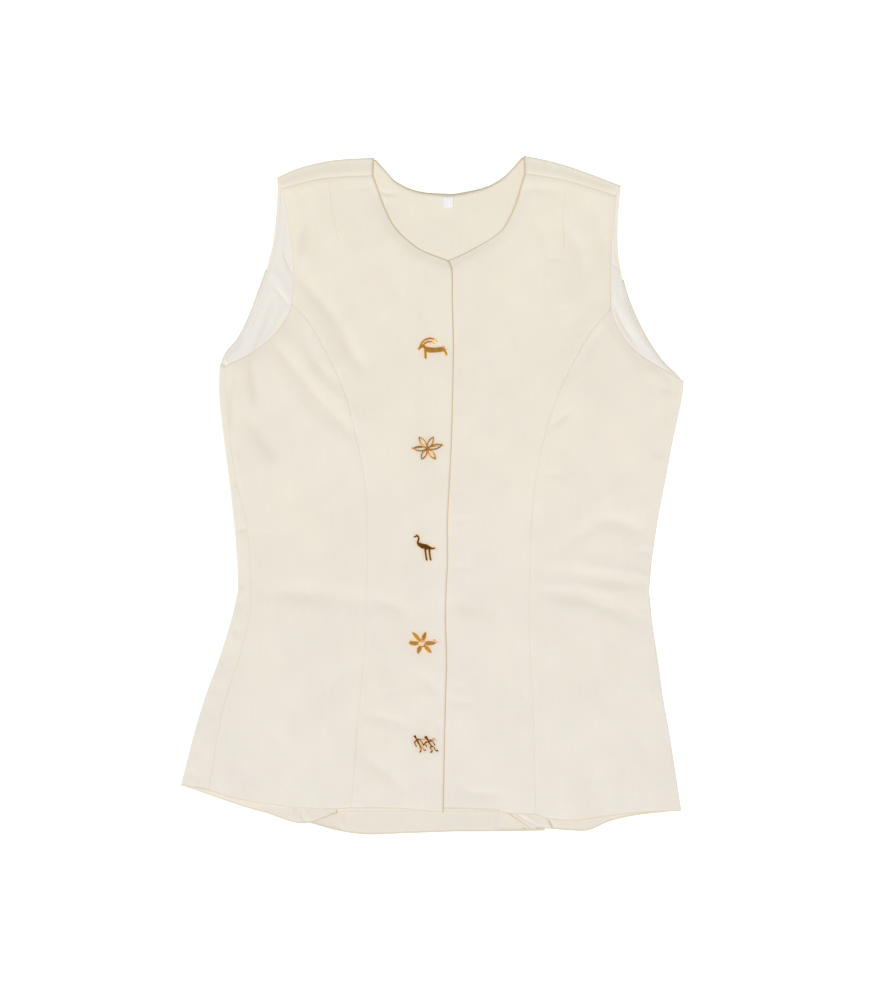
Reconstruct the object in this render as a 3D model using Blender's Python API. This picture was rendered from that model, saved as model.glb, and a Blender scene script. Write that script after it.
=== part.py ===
"""A fitted sleeveless waistcoat laid flat with its front up, fastened with five gold brooches.

X runs to the wearer's left, Y from the hem to the neck and Z up from the surface that it lies on.
The tables are in millimetres from the foot of the front opening, and MM turns them into metres.
"""

import math
from collections import namedtuple

import bmesh
import bpy
import numpy as np
from mathutils import Vector
from mathutils.geometry import delaunay_2d_cdt

MM = 0.001

# Thicknesses and heights of the layers
CLOTH = 1.2
THIN_CLOTH = 0.8
GAP = 0.3
SEAM_HALF_GAP = 0.2
BACK_Z = CLOTH / 2
ON_BACK = CLOTH / 2 + GAP + THIN_CLOTH / 2
FRONT_Z = 5.0
OVERLAP_RISE = CLOTH + 0.4
OVERLAP_RAMP = (-62.0, -31.0)
UNDERLAP_X = -28.5
FOLD_RADIUS = (FRONT_Z - BACK_Z) / 2
FOLD_INSET = FOLD_RADIUS + CLOTH / 2
SEAM_ANGLE = 8.0
FLAP_RISE = CLOTH + GAP
FLAP_CLEAR = 1.5
FLAP_RAMP = 30.0
FLAP_TOP_Y = 262.0
FLAP_FADE = 25.0
HEM_DEPTH = 22.0
HEM_EASE = 0.2
HEM_INSET = 0.6

# How finely the panels are cut: rows to the underarm, and of them those above the waist, where
# two back panels meet along one seam, then rows along the upper edges and cells across
BODY_ROWS = 28
UPPER_ROWS = 14
LOWER_ROWS = 8
FRONT_RIGHT_TOP_ROWS = 8
FRONT_LEFT_TOP_ROWS = 10
BACK_TOP_ROWS = 5
RIGHT_CELLS = 8
LEFT_CELLS = 9
SIDE_CELLS = 9
FAR_CELLS = 7
FOLD_CELLS = 6
HALF_FOLD_CELLS = 3
FACING_CELLS = (14, 4)
LINING_CELLS = (14, 3)
HEM_CELLS = 12
WAIST_Y = 225.0

# A row for each level across the body, with where each fold, seam and edge crosses it.
# The side folds are the outline, and back_ and flap_ are the edges of the tucked back panels.
Level = namedtuple(
    "Level",
    "y fold_right seam_right princess_right back_right flap_right edge flap_left back_left"
    " princess_left fold_left",
)
LEVELS = (
    Level(-30, -288.0, -252.5, -102.5, -150.0, -117.0, -6.0, 54.5, 98.5, 89.0, 240.5),
    Level(0, -280.0, -248.0, -100.0, -144.0, -115.0, -5.5, 58.0, 97.0, 88.5, 236.0),
    Level(75, -261.0, -236.5, -94.0, -129.5, -110.0, -4.0, 66.5, 94.0, 87.0, 224.5),
    Level(115, -249.0, -228.0, -91.0, -120.5, -107.0, -3.0, 72.5, 91.0, 85.5, 217.5),
    Level(155, -234.5, -215.0, -86.5, -111.0, -104.0, -2.0, 77.5, 87.5, 83.5, 212.0),
    Level(195, -222.0, -204.0, -84.5, -104.0, -102.0, -3.0, 81.5, 85.5, 82.0, 206.0),
    Level(225, -215.0, -201.5, -83.5, -101.0, -101.0, -2.5, 84.5, 84.5, 82.5, 203.0),
    Level(257, -216.0, -202.5, -83.0, -100.0, -100.0, -1.0, 84.5, 84.5, 83.0, 206.0),
    Level(298, -219.5, -207.0, -83.0, -101.0, -101.0, -1.0, 86.5, 86.5, 84.5, 212.0),
    Level(338, -224.0, -217.0, -86.0, -104.0, -104.0, 1.0, 91.0, 91.0, 88.5, 219.5),
    Level(380, -229.5, -223.0, -94.0, -109.0, -109.0, 3.0, 97.0, 97.0, 96.5, 227.5),
    Level(420, -234.0, -226.5, -104.0, -118.5, -118.5, 4.0, 107.0, 107.0, 109.0, 236.0),
    Level(441, -234.5, -228.0, -111.5, -125.5, -125.5, 4.5, 115.0, 115.0, 118.0, 238.5),
    Level(457, -234.0, -228.5, -118.5, -131.5, -131.5, 5.0, 122.0, 122.0, 126.0, 238.5),
)

# The free edges, each from its first end to its last
Point = namedtuple("Point", "x y")


def points(*pairs):
    return tuple(Point(*pair) for pair in pairs)


PRINCESS_TOP_RIGHT = points((-131, 480), (-146.5, 505), (-160.5, 519))
PRINCESS_TOP_LEFT = points((139.5, 481.5), (154, 501), (165.5, 513.5))
BACK_TOP_RIGHT = points((-139.5, 476.5), (-162, 514), (-186.5, 553))
BACK_TOP_LEFT = points((131.5, 476.5), (154, 514), (177.5, 542.5))
EDGE_TOP = points((5, 474.5), (4, 521), (3.5, 553), (0, 562.5))

ARM_FRONT_RIGHT_LOW = points(
    (-228.5, 455),
    (-203, 467.5),
    (-181.5, 484.5),
    (-166.5, 503),
    (-160.5, 519),
)
ARM_FRONT_RIGHT_HIGH = points((-160.5, 519), (-159.3, 560), (-163, 591.5), (-170.5, 636))
ARM_FRONT_LEFT_LOW = points(
    (238.5, 440.5),
    (215, 454),
    (196, 466),
    (182, 479.5),
    (170.5, 498),
    (165.5, 513.5),
)
ARM_FRONT_LEFT_HIGH = points((165.5, 513.5), (165.5, 544.5), (166.5, 580.5), (170.5, 628.5))
ARM_BACK_RIGHT_LOW = points(
    (-234, 457),
    (-227.5, 469),
    (-216, 483),
    (-206, 502),
    (-198, 522),
    (-186.5, 553),
)
ARM_BACK_RIGHT_HIGH = points((-186.5, 553), (-179.5, 583.5), (-175.5, 624), (-175.5, 647.5))
ARM_BACK_LEFT_LOW = points(
    (238.5, 440.5),
    (217.5, 461),
    (203, 481.5),
    (192, 502),
    (183.5, 522),
    (177.5, 542.5),
)
ARM_BACK_LEFT_HIGH = points((177.5, 542.5), (173.2, 568), (172.5, 600), (175.5, 639.5))

NECK_FRONT_RIGHT = points(
    (0, 562.5),
    (-27, 573),
    (-43.5, 585),
    (-56, 598.5),
    (-65.5, 617.5),
    (-72.5, 636.5),
    (-77, 649),
)
NECK_FRONT_LEFT = points(
    (UNDERLAP_X, 555),
    (0, 563),
    (32, 578.8),
    (51, 591.2),
    (60, 604),
    (67.6, 621.5),
    (76.5, 651),
)
NECK_BACK_RIGHT = points((5, 631), (-23.5, 632.5), (-40, 636.5), (-55, 644.5), (-63, 653), (-76.5, 668))
NECK_BACK_LEFT = points((5, 631), (30.5, 636), (43, 640.5), (56, 648.5), (64.5, 657), (76, 670))

SHOULDER_SEAM_RIGHT = points((-170.5, 636), (-134.5, 645), (-106, 648), (-77, 649))
SHOULDER_SEAM_LEFT = points((76.5, 651), (98, 648), (121.5, 643.5), (170.5, 628.5))
SHOULDER_FOLD_RIGHT = points((-175.5, 647.5), (-154, 657), (-119.5, 665), (-76.5, 668))
SHOULDER_FOLD_LEFT = points((76, 670), (101, 665), (128.5, 657), (175.5, 639.5))

HEM_FRONT_RIGHT_SIDE = points((-244.5, 21.5), (-212, 12), (-158, 5), (-120.5, 3.5), (-99.5, 5.5))
HEM_FRONT_RIGHT = points((-99.5, 5.5), (-50, 5), (-5.5, 1))
HEM_FRONT_LEFT = points((UNDERLAP_X, 4), (-5.5, 3.5), (48.5, 1.5), (58, -1.5), (88.5, -3))
HEM_FRONT_LEFT_SIDE = points((88.5, -3), (102.5, -7.5), (130.5, -9), (158.5, -5), (195, -1), (236, 1))
HEM_BACK_RIGHT_SIDE = points((-115, -2), (-150, -12), (-188.5, -1), (-210, 5), (-273, 26.5))
HEM_BACK_RIGHT = points((-146, -10.5), (-114, -19.5), (-84.5, -23.5), (-50, -22.5), (5, -20.5))
HEM_BACK_LEFT = points((5, -20.5), (31.5, -20.5), (76.5, -20), (98, -19.5))
HEM_BACK_LEFT_SIDE = points(
    (58, -1),
    (88.5, -16.5),
    (125.5, -19.5),
    (143, -19),
    (164, -10),
    (190.5, -4),
    (236, 1),
)

# The facing inside the back neck, and the two linings that the armholes show
FACING_UPPER = points(
    (-75, 660),
    (-61, 650),
    (-39, 634.5),
    (5, 629.5),
    (43, 638.5),
    (55, 646.5),
    (75, 662),
)
FACING_LOWER = points(
    (-92, 640),
    (-80, 598),
    (-52, 566),
    (5, 543),
    (58, 568),
    (84, 600),
    (92, 642),
)
LINING_RIGHT_OUTER = points(
    (-228, 461),
    (-213, 484),
    (-204, 502),
    (-196, 522),
    (-184.5, 553),
    (-177.5, 584),
    (-173.5, 640),
)
LINING_RIGHT_INNER = points((-210, 438), (-176, 462), (-142, 500), (-136, 560), (-146, 632))
LINING_LEFT_OUTER = points(
    (230, 445),
    (201, 481),
    (190, 502),
    (181.5, 522),
    (175.5, 542.5),
    (171, 568),
    (172, 632),
)
LINING_LEFT_INNER = points((212, 428), (180, 452), (148, 490), (142, 540), (146, 624))

# A row for each turned-up part of the back hem: the hem that it follows, from where to where,
# and the side of the panel that it lies on
HemTurnUp = namedtuple("HemTurnUp", "name knots first last side")
HEM_TURN_UPS = (
    HemTurnUp("back_hem_right_side", HEM_BACK_RIGHT_SIDE, -118.5, -261.0, "right"),
    HemTurnUp("back_hem_centre", HEM_BACK_RIGHT[1:] + HEM_BACK_LEFT[1:3], -112.0, 55.0, None),
    HemTurnUp("back_hem_left_side", HEM_BACK_LEFT_SIDE, 63.0, 226.0, "left"),
)

# Two opposite corners of the size label
LABEL_LOW = Point(-6.5, 616.5)
LABEL_HIGH = Point(5.2, 628.0)

# Where the seams, the folds and the opening start at the hem and end at the armhole
UNDERARM_Y = 457.0
EDGE_FOOT_Y = 1.0
PRINCESS_FOOT_RIGHT_Y = 5.5
PRINCESS_FOOT_LEFT_Y = -3.0
SEAM_RIGHT_SPAN = (21.5, 455.0)
FOLD_RIGHT_SPAN = (26.5, 457.0)
FOLD_LEFT_SPAN = (1.0, 440.5)
FLAP_FOOT_RIGHT_Y = -2.0
FLAP_FOOT_LEFT_Y = -1.0

# A row for each large crease of the fronts: its line through three points, how far it rises or
# sinks and how far it reaches to each side
Crease = namedtuple("Crease", "name x0 y0 x1 y1 x2 y2 rise reach")
CREASES = (
    Crease("armhole_to_bust_right", -153, 550, -118, 498, -88, 454, -1.5, 8),
    Crease("beside_armhole_right", -144, 627, -144, 599, -148, 577, -0.9, 7),
    Crease("underarm_right", -180, 477, -144, 425, -97, 382, -1.9, 8),
    Crease("above_underarm_right", -168, 487, -130, 436, -88, 396, 1.1, 8),
    Crease("along_princess_right", -149, 491, -134, 456, -113, 436, -0.8, 6),
    Crease("side_high_right", -205, 461, -203, 440, -198, 421, -0.9, 7),
    Crease("side_low_right", -205, 398, -193, 378, -180, 360, -0.9, 8),
    Crease("waist_break_right", -202, 224, -150, 223, -60, 211, -1.2, 10),
    Crease("waist_upper_left", 93, 243, 145, 241, 203, 231, -1.0, 8),
    Crease("waist_ridge_left", 140, 250, 178, 245, 203, 240, 0.9, 8),
    Crease("waist_main_left", 91, 222, 145, 216, 205, 189, -1.9, 8),
    Crease("waist_high_left", 107, 264, 160, 296, 205, 284, -1.5, 8),
    Crease("shoulder_left", 124, 593, 132, 575, 137, 545, -1.3, 7),
    Crease("beside_armhole_left", 145, 622, 154, 599, 159, 568, -0.9, 7),
    Crease("bust_left", 154, 528, 118, 484, 98, 430, -1.1, 9),
    Crease("side_high_left", 212, 440, 210, 410, 205, 381, -0.9, 7),
    Crease("hem_flute_left", 113, 175, 118, 80, 118, -12, 1.4, 18),
    Crease("hem_fold_left", 145, 46, 146, 20, 145, -5, -0.8, 9),
    Crease("hem_flute_right", -160, 150, -178, 80, -190, 8, 1.2, 22),
)

# A row for each broad swell of the fronts, from the shaping that the seams hold
Swell = namedtuple("Swell", "name x y rise reach_x reach_y")
SWELLS = (
    Swell("bust_right", -112, 425, 3.2, 52, 75),
    Swell("bust_left", 118, 420, 3.0, 52, 75),
    Swell("hip_right", -150, 110, 1.6, 60, 70),
    Swell("hip_left", 125, 105, 1.6, 60, 70),
)

# The cream, white and gold of the pieces: red, green, blue, roughness and metallic
Finish = namedtuple("Finish", "red green blue roughness metallic")
CREAM = Finish(0.83, 0.77, 0.66, 0.75, 0.0)
CREAM_INSIDE = Finish(0.80, 0.74, 0.62, 0.8, 0.0)
WHITE_LINING = Finish(0.86, 0.85, 0.83, 0.5, 0.0)
WHITE_TAPE = Finish(0.9, 0.9, 0.9, 0.6, 0.0)
GOLD = Finish(0.77, 0.48, 0.14, 0.25, 1.0)

# Brooches: plate thickness, pin thickness and how finely a round is drawn
PLATE_THICKNESS = 1.5
PIN_THICKNESS = 0.9
ROUND_SIDES = 10


def smooth_step(value):
    """0 below 0, 1 above 1 and a soft ramp between."""
    held = np.clip(value, 0.0, 1.0)
    return held * held * (3.0 - 2.0 * held)


def spline(knots, per_span=12):
    """A dense line through the knots, rounded at each one and straight between two."""
    knots = np.array([tuple(knot) for knot in knots], dtype=float)
    if len(knots) == 2:
        return knots
    before = 2 * knots[0] - knots[1]
    after = 2 * knots[-1] - knots[-2]
    padded = np.vstack([before, knots, after])
    line = [knots[0]]
    for index in range(len(knots) - 1):
        a, b, c, d = padded[index : index + 4]
        step = math.sqrt(np.linalg.norm(c - b))
        enter = (c - a) / max(math.sqrt(np.linalg.norm(b - a)) + step, 1e-6) * step
        leave = (d - b) / max(step + math.sqrt(np.linalg.norm(d - c)), 1e-6) * step
        for t in np.arange(1, per_span + 1) / per_span:
            line.append(
                (2 * t**3 - 3 * t**2 + 1) * b
                + (t**3 - 2 * t**2 + t) * enter
                + (3 * t**2 - 2 * t**3) * c
                + (t**3 - t**2) * leave
            )
    return np.array(line)


def divide(line, cells):
    """The line cut into equal lengths."""
    line = np.asarray(line, dtype=float)
    along = np.concatenate([[0.0], np.cumsum(np.linalg.norm(np.diff(line, axis=0), axis=1))])
    stops = np.linspace(0.0, along[-1], cells + 1)
    return np.column_stack([np.interp(stops, along, line[:, axis]) for axis in (0, 1)])


def edge_line(*stretches):
    """One edge made of stretches, each a list of knots and its number of cells."""
    parts = [divide(spline(knots), cells) for knots, cells in stretches]
    return np.vstack([parts[0]] + [part[1:] for part in parts[1:]])


def level_line(column):
    """Where a fold or seam runs, as a dense line from below the hem upward."""
    return spline([(getattr(row, column), row.y) for row in LEVELS])


def level_x(column, y):
    line = level_line(column)
    return np.interp(y, line[:, 1], line[:, 0])


def up_line(column, low_y, high_y, top=()):
    """Knots of a fold or seam from low_y to high_y, and on through its top points."""
    knots = [(float(level_x(column, low_y)), low_y)]
    knots += [(getattr(row, column), row.y) for row in LEVELS if low_y + 12 < row.y < high_y - 8]
    if not top:
        knots.append((float(level_x(column, high_y)), high_y))
    return knots + list(top)


def moved(line, dx=0.0, dy=0.0):
    return np.asarray(line, dtype=float) + np.array([dx, dy])


def patch(bottom, top, left, right):
    """The points of a panel between its four edges, rows from bottom to top."""
    bottom, top, left, right = (line.copy() for line in (bottom, top, left, right))
    for end, line in ((0, bottom), (-1, top)):
        for corner, side in ((0, left), (-1, right)):
            side[end, 1] = line[corner, 1]
            line[corner, 0] = side[end, 0]
    u = np.linspace(0.0, 1.0, len(bottom))[None, :, None]
    v = np.linspace(0.0, 1.0, len(left))[:, None, None]
    across = (1 - v) * bottom[None] + v * top[None]
    along = (1 - u) * left[:, None] + u * right[:, None]
    corners = (
        (1 - u) * (1 - v) * bottom[0]
        + u * (1 - v) * bottom[-1]
        + (1 - u) * v * top[0]
        + u * v * top[-1]
    )
    return across + along - corners


def crease_height(flat):
    """What the creases and swells add at each point."""
    x, y = flat[..., 0], flat[..., 1]
    total = np.zeros(x.shape)
    for swell in SWELLS:
        far = ((x - swell.x) / swell.reach_x) ** 2 + ((y - swell.y) / swell.reach_y) ** 2
        total += swell.rise * np.exp(-far)
    for crease in CREASES:
        line = spline([(crease.x0, crease.y0), (crease.x1, crease.y1), (crease.x2, crease.y2)], 8)
        share = np.sin(np.pi * (np.arange(len(line)) + 0.5) / len(line)) ** 0.5
        best = np.zeros(x.shape)
        for (px, py), strength in zip(line, share):
            far = ((x - px) ** 2 + (y - py) ** 2) / crease.reach**2
            best = np.maximum(best, strength * np.exp(-far))
        total += crease.rise * best
    return total


def edge_calm(flat):
    """Fades the creases out towards the side folds and the shoulder seams."""
    x, y = flat[..., 0], flat[..., 1]
    right = smooth_step((x - level_x("fold_right", y) - 4) / 22)
    left = smooth_step((level_x("fold_left", y) - 4 - x) / 22)
    top = smooth_step((640 - y) / 30)
    return right * left * top


def front_height(flat):
    """The middle of the front cloth above the surface."""
    return FRONT_Z + crease_height(flat) * edge_calm(flat)


def overlap_height(flat):
    """The same for the right front, which climbs over the underlap."""
    low, high = OVERLAP_RAMP
    rise = OVERLAP_RISE * smooth_step((flat[..., 0] - low) / (high - low))
    return front_height(flat) + rise


def back_height(flat):
    return np.full(flat.shape[:-1], BACK_Z)


def flap_height(flat, side):
    """The middle of a side back panel, which lies over the edge of the centre one near the hem."""
    x, y = flat[..., 0], flat[..., 1]
    if side == "right":
        over = x - (level_x("back_right", y) - FLAP_RAMP - FLAP_CLEAR)
    else:
        over = (level_x("back_left", y) + FLAP_RAMP + FLAP_CLEAR) - x
    fade = 1.0 - smooth_step((y - FLAP_TOP_Y) / FLAP_FADE)
    return BACK_Z + FLAP_RISE * smooth_step(over / FLAP_RAMP) * fade


def raise_to(flat, height):
    return np.dstack([flat, height])


def folded_edge(fold, inward, low, high, first_angle, last_angle, cells):
    """Columns of points round a folded edge, from one angle to another, seen along the fold."""
    turn = np.radians(np.linspace(first_angle, last_angle, cells + 1))[None, :]
    centre = fold + np.array(inward) * FOLD_INSET
    reach = -np.array(inward)[None, None, :] * (FOLD_RADIUS * np.cos(turn))[..., None]
    flat = centre[:, None, :] + reach
    middle = (low + high)[:, None] / 2
    height = middle + (high - low)[:, None] / 2 * np.sin(turn)
    return raise_to(flat, height)


def finish_material(name, finish):
    material = bpy.data.materials.new(name)
    material.use_nodes = True
    shader = material.node_tree.nodes["Principled BSDF"]
    shader.inputs["Base Color"].default_value = (finish.red, finish.green, finish.blue, 1.0)
    shader.inputs["Roughness"].default_value = finish.roughness
    shader.inputs["Metallic"].default_value = finish.metallic
    return material


def add_object(name, bm, finish):
    mesh = bpy.data.meshes.new(name)
    bm.to_mesh(mesh)
    bm.free()
    mesh.shade_smooth()
    mesh.set_sharp_from_angle(angle=math.radians(40))
    mesh.materials.append(finish_material(name, finish))
    piece = bpy.data.objects.new(name, mesh)
    bpy.context.collection.objects.link(piece)
    return piece


def grid_normals(middle):
    across = np.gradient(middle, axis=1)
    along = np.gradient(middle, axis=0)
    normal = np.cross(across, along)
    return normal / np.linalg.norm(normal, axis=2, keepdims=True)


def cloth(name, middle, thickness, finish):
    """A closed wall of cloth round a grid of points that lie in its middle."""
    normal = grid_normals(middle)
    rows, columns = middle.shape[:2]
    bm = bmesh.new()
    sides = []
    for way in (0.5, -0.5):
        layer = (middle + normal * thickness * way) * MM
        sides.append([[bm.verts.new(point) for point in row] for row in layer])
    upper, lower = sides
    for i in range(rows - 1):
        for j in range(columns - 1):
            bm.faces.new((upper[i][j], upper[i][j + 1], upper[i + 1][j + 1], upper[i + 1][j]))
            bm.faces.new((lower[i][j], lower[i + 1][j], lower[i + 1][j + 1], lower[i][j + 1]))
    rim = [(0, j) for j in range(columns - 1)]
    rim += [(i, columns - 1) for i in range(rows - 1)]
    rim += [(rows - 1, j) for j in range(columns - 1, 0, -1)]
    rim += [(i, 0) for i in range(rows - 1, 0, -1)]
    for (i, j), (k, m) in zip(rim, rim[1:] + rim[:1]):
        bm.faces.new((upper[k][m], upper[i][j], lower[i][j], lower[k][m]))
    return add_object(name, bm, finish)


def front_right():
    """The front that lies on top: a centre panel and a side panel, meeting at the princess seam."""
    princess = up_line("princess_right", PRINCESS_FOOT_RIGHT_Y, UNDERARM_Y, PRINCESS_TOP_RIGHT)
    edge = up_line("edge", EDGE_FOOT_Y, UNDERARM_Y, EDGE_TOP)
    left = edge_line((princess, BODY_ROWS), (ARM_FRONT_RIGHT_HIGH, FRONT_RIGHT_TOP_ROWS))
    right = edge_line((edge, BODY_ROWS), (NECK_FRONT_RIGHT, FRONT_RIGHT_TOP_ROWS))
    bottom = edge_line((HEM_FRONT_RIGHT, RIGHT_CELLS))
    top = edge_line((SHOULDER_SEAM_RIGHT, RIGHT_CELLS))
    flat = patch(
        moved(bottom, SEAM_HALF_GAP),
        moved(top, 0.0, -SEAM_HALF_GAP),
        moved(left, SEAM_HALF_GAP),
        right,
    )
    cloth("front_right_centre", raise_to(flat, overlap_height(flat)), CLOTH, CREAM)

    seam = up_line("seam_right", *SEAM_RIGHT_SPAN)
    flat = patch(
        edge_line((HEM_FRONT_RIGHT_SIDE, SIDE_CELLS)),
        edge_line((ARM_FRONT_RIGHT_LOW, SIDE_CELLS)),
        moved(edge_line((seam, BODY_ROWS)), SEAM_HALF_GAP),
        moved(edge_line((princess, BODY_ROWS)), -SEAM_HALF_GAP),
    )
    cloth("front_right_side", raise_to(flat, overlap_height(flat)), CLOTH, CREAM)


def front_left():
    """The front beneath: a centre panel with the underlap, and a side panel turned at the side."""
    princess = up_line("princess_left", PRINCESS_FOOT_LEFT_Y, UNDERARM_Y, PRINCESS_TOP_LEFT)
    underlap = points((UNDERLAP_X, 4), (UNDERLAP_X, 555))
    left = edge_line((underlap, BODY_ROWS), (NECK_FRONT_LEFT, FRONT_LEFT_TOP_ROWS))
    right = edge_line((princess, BODY_ROWS), (ARM_FRONT_LEFT_HIGH, FRONT_LEFT_TOP_ROWS))
    flat = patch(
        moved(edge_line((HEM_FRONT_LEFT, LEFT_CELLS)), -SEAM_HALF_GAP),
        moved(edge_line((SHOULDER_SEAM_LEFT, LEFT_CELLS)), 0.0, -SEAM_HALF_GAP),
        left,
        moved(right, -SEAM_HALF_GAP),
    )
    cloth("front_left_centre", raise_to(flat, front_height(flat)), CLOTH, CREAM)

    fold = edge_line((up_line("fold_left", *FOLD_LEFT_SPAN), BODY_ROWS))
    turned_at = moved(fold, -FOLD_INSET)
    hem = divide(spline(HEM_FRONT_LEFT_SIDE), SIDE_CELLS)
    arm = divide(spline(ARM_FRONT_LEFT_LOW[::-1]), SIDE_CELLS)
    hem[-1] = turned_at[0]
    arm[-1] = turned_at[-1]
    princess = moved(edge_line((princess, BODY_ROWS)), SEAM_HALF_GAP)
    flat = patch(hem, arm, princess, turned_at)
    panel = raise_to(flat, front_height(flat))
    low = back_height(turned_at)
    high = front_height(turned_at)
    turned = folded_edge(fold, (-1, 0), low, high, 90, SEAM_ANGLE, HALF_FOLD_CELLS)
    cloth("front_left_side", np.hstack([panel, turned[:, 1:]]), CLOTH, CREAM)


def back_seam_line(column, low_y, top, low_rows):
    """The line of a back panel's inner edge: its tuck below the waist and its seam above."""
    low = up_line(column, low_y, WAIST_Y)
    high = up_line(column, WAIST_Y, UNDERARM_Y, top)
    return edge_line((low, low_rows), (high, UPPER_ROWS))


def back_centre(name, side, back_top, arm, neck, fold_knots, seam_knots, hem_knots, cells):
    """A centre back panel: flat beneath, over the shoulder and down to the shoulder seam."""
    low_y = hem_knots[0].y if side == "right" else hem_knots[-1].y
    outer = back_seam_line("back_" + side, low_y, back_top, LOWER_ROWS)
    outer = np.vstack([outer, edge_line((arm, BACK_TOP_ROWS))[1:]])
    centre_line = points((5, -20.5), (5, 631))
    inner = edge_line((centre_line, LOWER_ROWS + UPPER_ROWS), (neck, BACK_TOP_ROWS))
    outward = -1 if side == "right" else 1
    outer = moved(outer, -outward * SEAM_HALF_GAP)
    inner = moved(inner, outward * SEAM_HALF_GAP)
    fold = edge_line((fold_knots, cells))
    seam = moved(edge_line((seam_knots, cells)), 0.0, SEAM_HALF_GAP)
    hem = edge_line((hem_knots, cells))
    low_line = moved(fold, 0.0, -FOLD_INSET)
    left, right = (outer, inner) if side == "right" else (inner, outer)
    left[-1] = low_line[0]
    right[-1] = low_line[-1]
    flat = patch(hem, low_line, left, right)
    floor = raise_to(flat, back_height(flat))
    high = front_height(low_line)
    turned = folded_edge(fold, (0, -1), back_height(low_line), high, -90, 90, FOLD_CELLS)
    turned = turned.transpose(1, 0, 2)
    strip = np.stack([low_line * (1 - t) + seam * t for t in (0.5, 1.0)])
    over = raise_to(strip, front_height(strip))
    cloth(name, np.vstack([floor, turned[1:], over]), CLOTH, CREAM)


def split_line(line, x):
    """The line in two parts, cut where it crosses x."""
    heading = np.sign(line[-1, 0] - line[0, 0])
    rising = line if heading > 0 else line[::-1]
    cut = np.array([x, np.interp(x, rising[:, 0], rising[:, 1])])
    beyond = (line[:, 0] - x) * heading > 0
    return np.vstack([line[~beyond], cut]), np.vstack([cut, line[beyond]])


def back_side_floor(side, low_y, back_top, hem_knots, arm_knots, turned_at):
    """The flat part of a side back panel, from its tucked edge out to where the side turns."""
    outward = -1 if side == "right" else 1
    low_rows = BODY_ROWS - UPPER_ROWS
    inner = back_seam_line("flap_" + side, low_y, back_top, low_rows)
    inner = moved(inner, outward * SEAM_HALF_GAP)
    rise = back_seam_line("back_" + side, low_y, back_top, low_rows)
    rise = moved(rise, outward * FLAP_CLEAR)
    hem = spline(hem_knots)
    arm = spline(arm_knots[::-1])
    hem[-1] = turned_at[0]
    arm[-1] = turned_at[-1]
    hem_near, hem_far = split_line(hem, rise[0, 0])
    arm_near, arm_far = split_line(arm, rise[-1, 0])
    near = patch(divide(hem_near, 1), divide(arm_near, 1), inner, rise)
    far = patch(divide(hem_far, FAR_CELLS), divide(arm_far, FAR_CELLS), rise, turned_at)
    flat = np.hstack([near, far[:, 1:]])
    return raise_to(flat, flap_height(flat, side))


def back_side_right():
    """The right side back: flat beneath, round the side fold and over to the side seam."""
    fold = edge_line((up_line("fold_right", *FOLD_RIGHT_SPAN), BODY_ROWS))
    seam = edge_line((up_line("seam_right", *SEAM_RIGHT_SPAN), BODY_ROWS))
    turned_at = moved(fold, FOLD_INSET)
    floor = back_side_floor(
        "right", FLAP_FOOT_RIGHT_Y, BACK_TOP_RIGHT, HEM_BACK_RIGHT_SIDE, ARM_BACK_RIGHT_LOW, turned_at
    )
    high = front_height(turned_at)
    turned = folded_edge(fold, (1, 0), back_height(turned_at), high, -90, 90, FOLD_CELLS)
    seam = moved(seam, -SEAM_HALF_GAP)
    strip = np.stack([turned_at * (1 - t) + seam * t for t in (0.5, 1.0)], axis=1)
    over = raise_to(strip, front_height(strip))
    cloth("back_side_right", np.hstack([floor, turned[:, 1:], over]), CLOTH, CREAM)


def back_side_left():
    """The left side back: flat beneath, up to the side seam at the fold."""
    fold = edge_line((up_line("fold_left", *FOLD_LEFT_SPAN), BODY_ROWS))
    turned_at = moved(fold, -FOLD_INSET)
    floor = back_side_floor(
        "left", FLAP_FOOT_LEFT_Y, BACK_TOP_LEFT, HEM_BACK_LEFT_SIDE, ARM_BACK_LEFT_LOW, turned_at
    )
    high = front_height(turned_at)
    low = back_height(turned_at)
    turned = folded_edge(fold, (-1, 0), low, high, -90, -SEAM_ANGLE, HALF_FOLD_CELLS)
    cloth("back_side_left", np.hstack([floor, turned[:, 1:]]), CLOTH, CREAM)


def neck_facing():
    """The facing inside the back neckline, which runs on under the fronts."""
    around, inward = FACING_CELLS
    flat = patch(
        edge_line((FACING_LOWER, around)),
        edge_line((FACING_UPPER, around)),
        edge_line(((FACING_LOWER[0], FACING_UPPER[0]), inward)),
        edge_line(((FACING_LOWER[-1], FACING_UPPER[-1]), inward)),
    )
    height = back_height(flat) + ON_BACK
    cloth("back_neck_facing", raise_to(flat, height), THIN_CLOTH, CREAM_INSIDE)


def armhole_linings():
    """The white lining inside the back, where the armholes show it."""
    around, inward = LINING_CELLS
    pieces = (
        ("back_lining_right", LINING_RIGHT_OUTER, LINING_RIGHT_INNER),
        ("back_lining_left", LINING_LEFT_OUTER, LINING_LEFT_INNER),
    )
    for name, outer, inner in pieces:
        flat = patch(
            edge_line(((outer[0], inner[0]), inward)),
            edge_line(((outer[-1], inner[-1]), inward)),
            edge_line((outer, around)),
            edge_line((inner, around)),
        )
        cloth(name, raise_to(flat, back_height(flat) + ON_BACK), THIN_CLOTH, WHITE_LINING)


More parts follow.
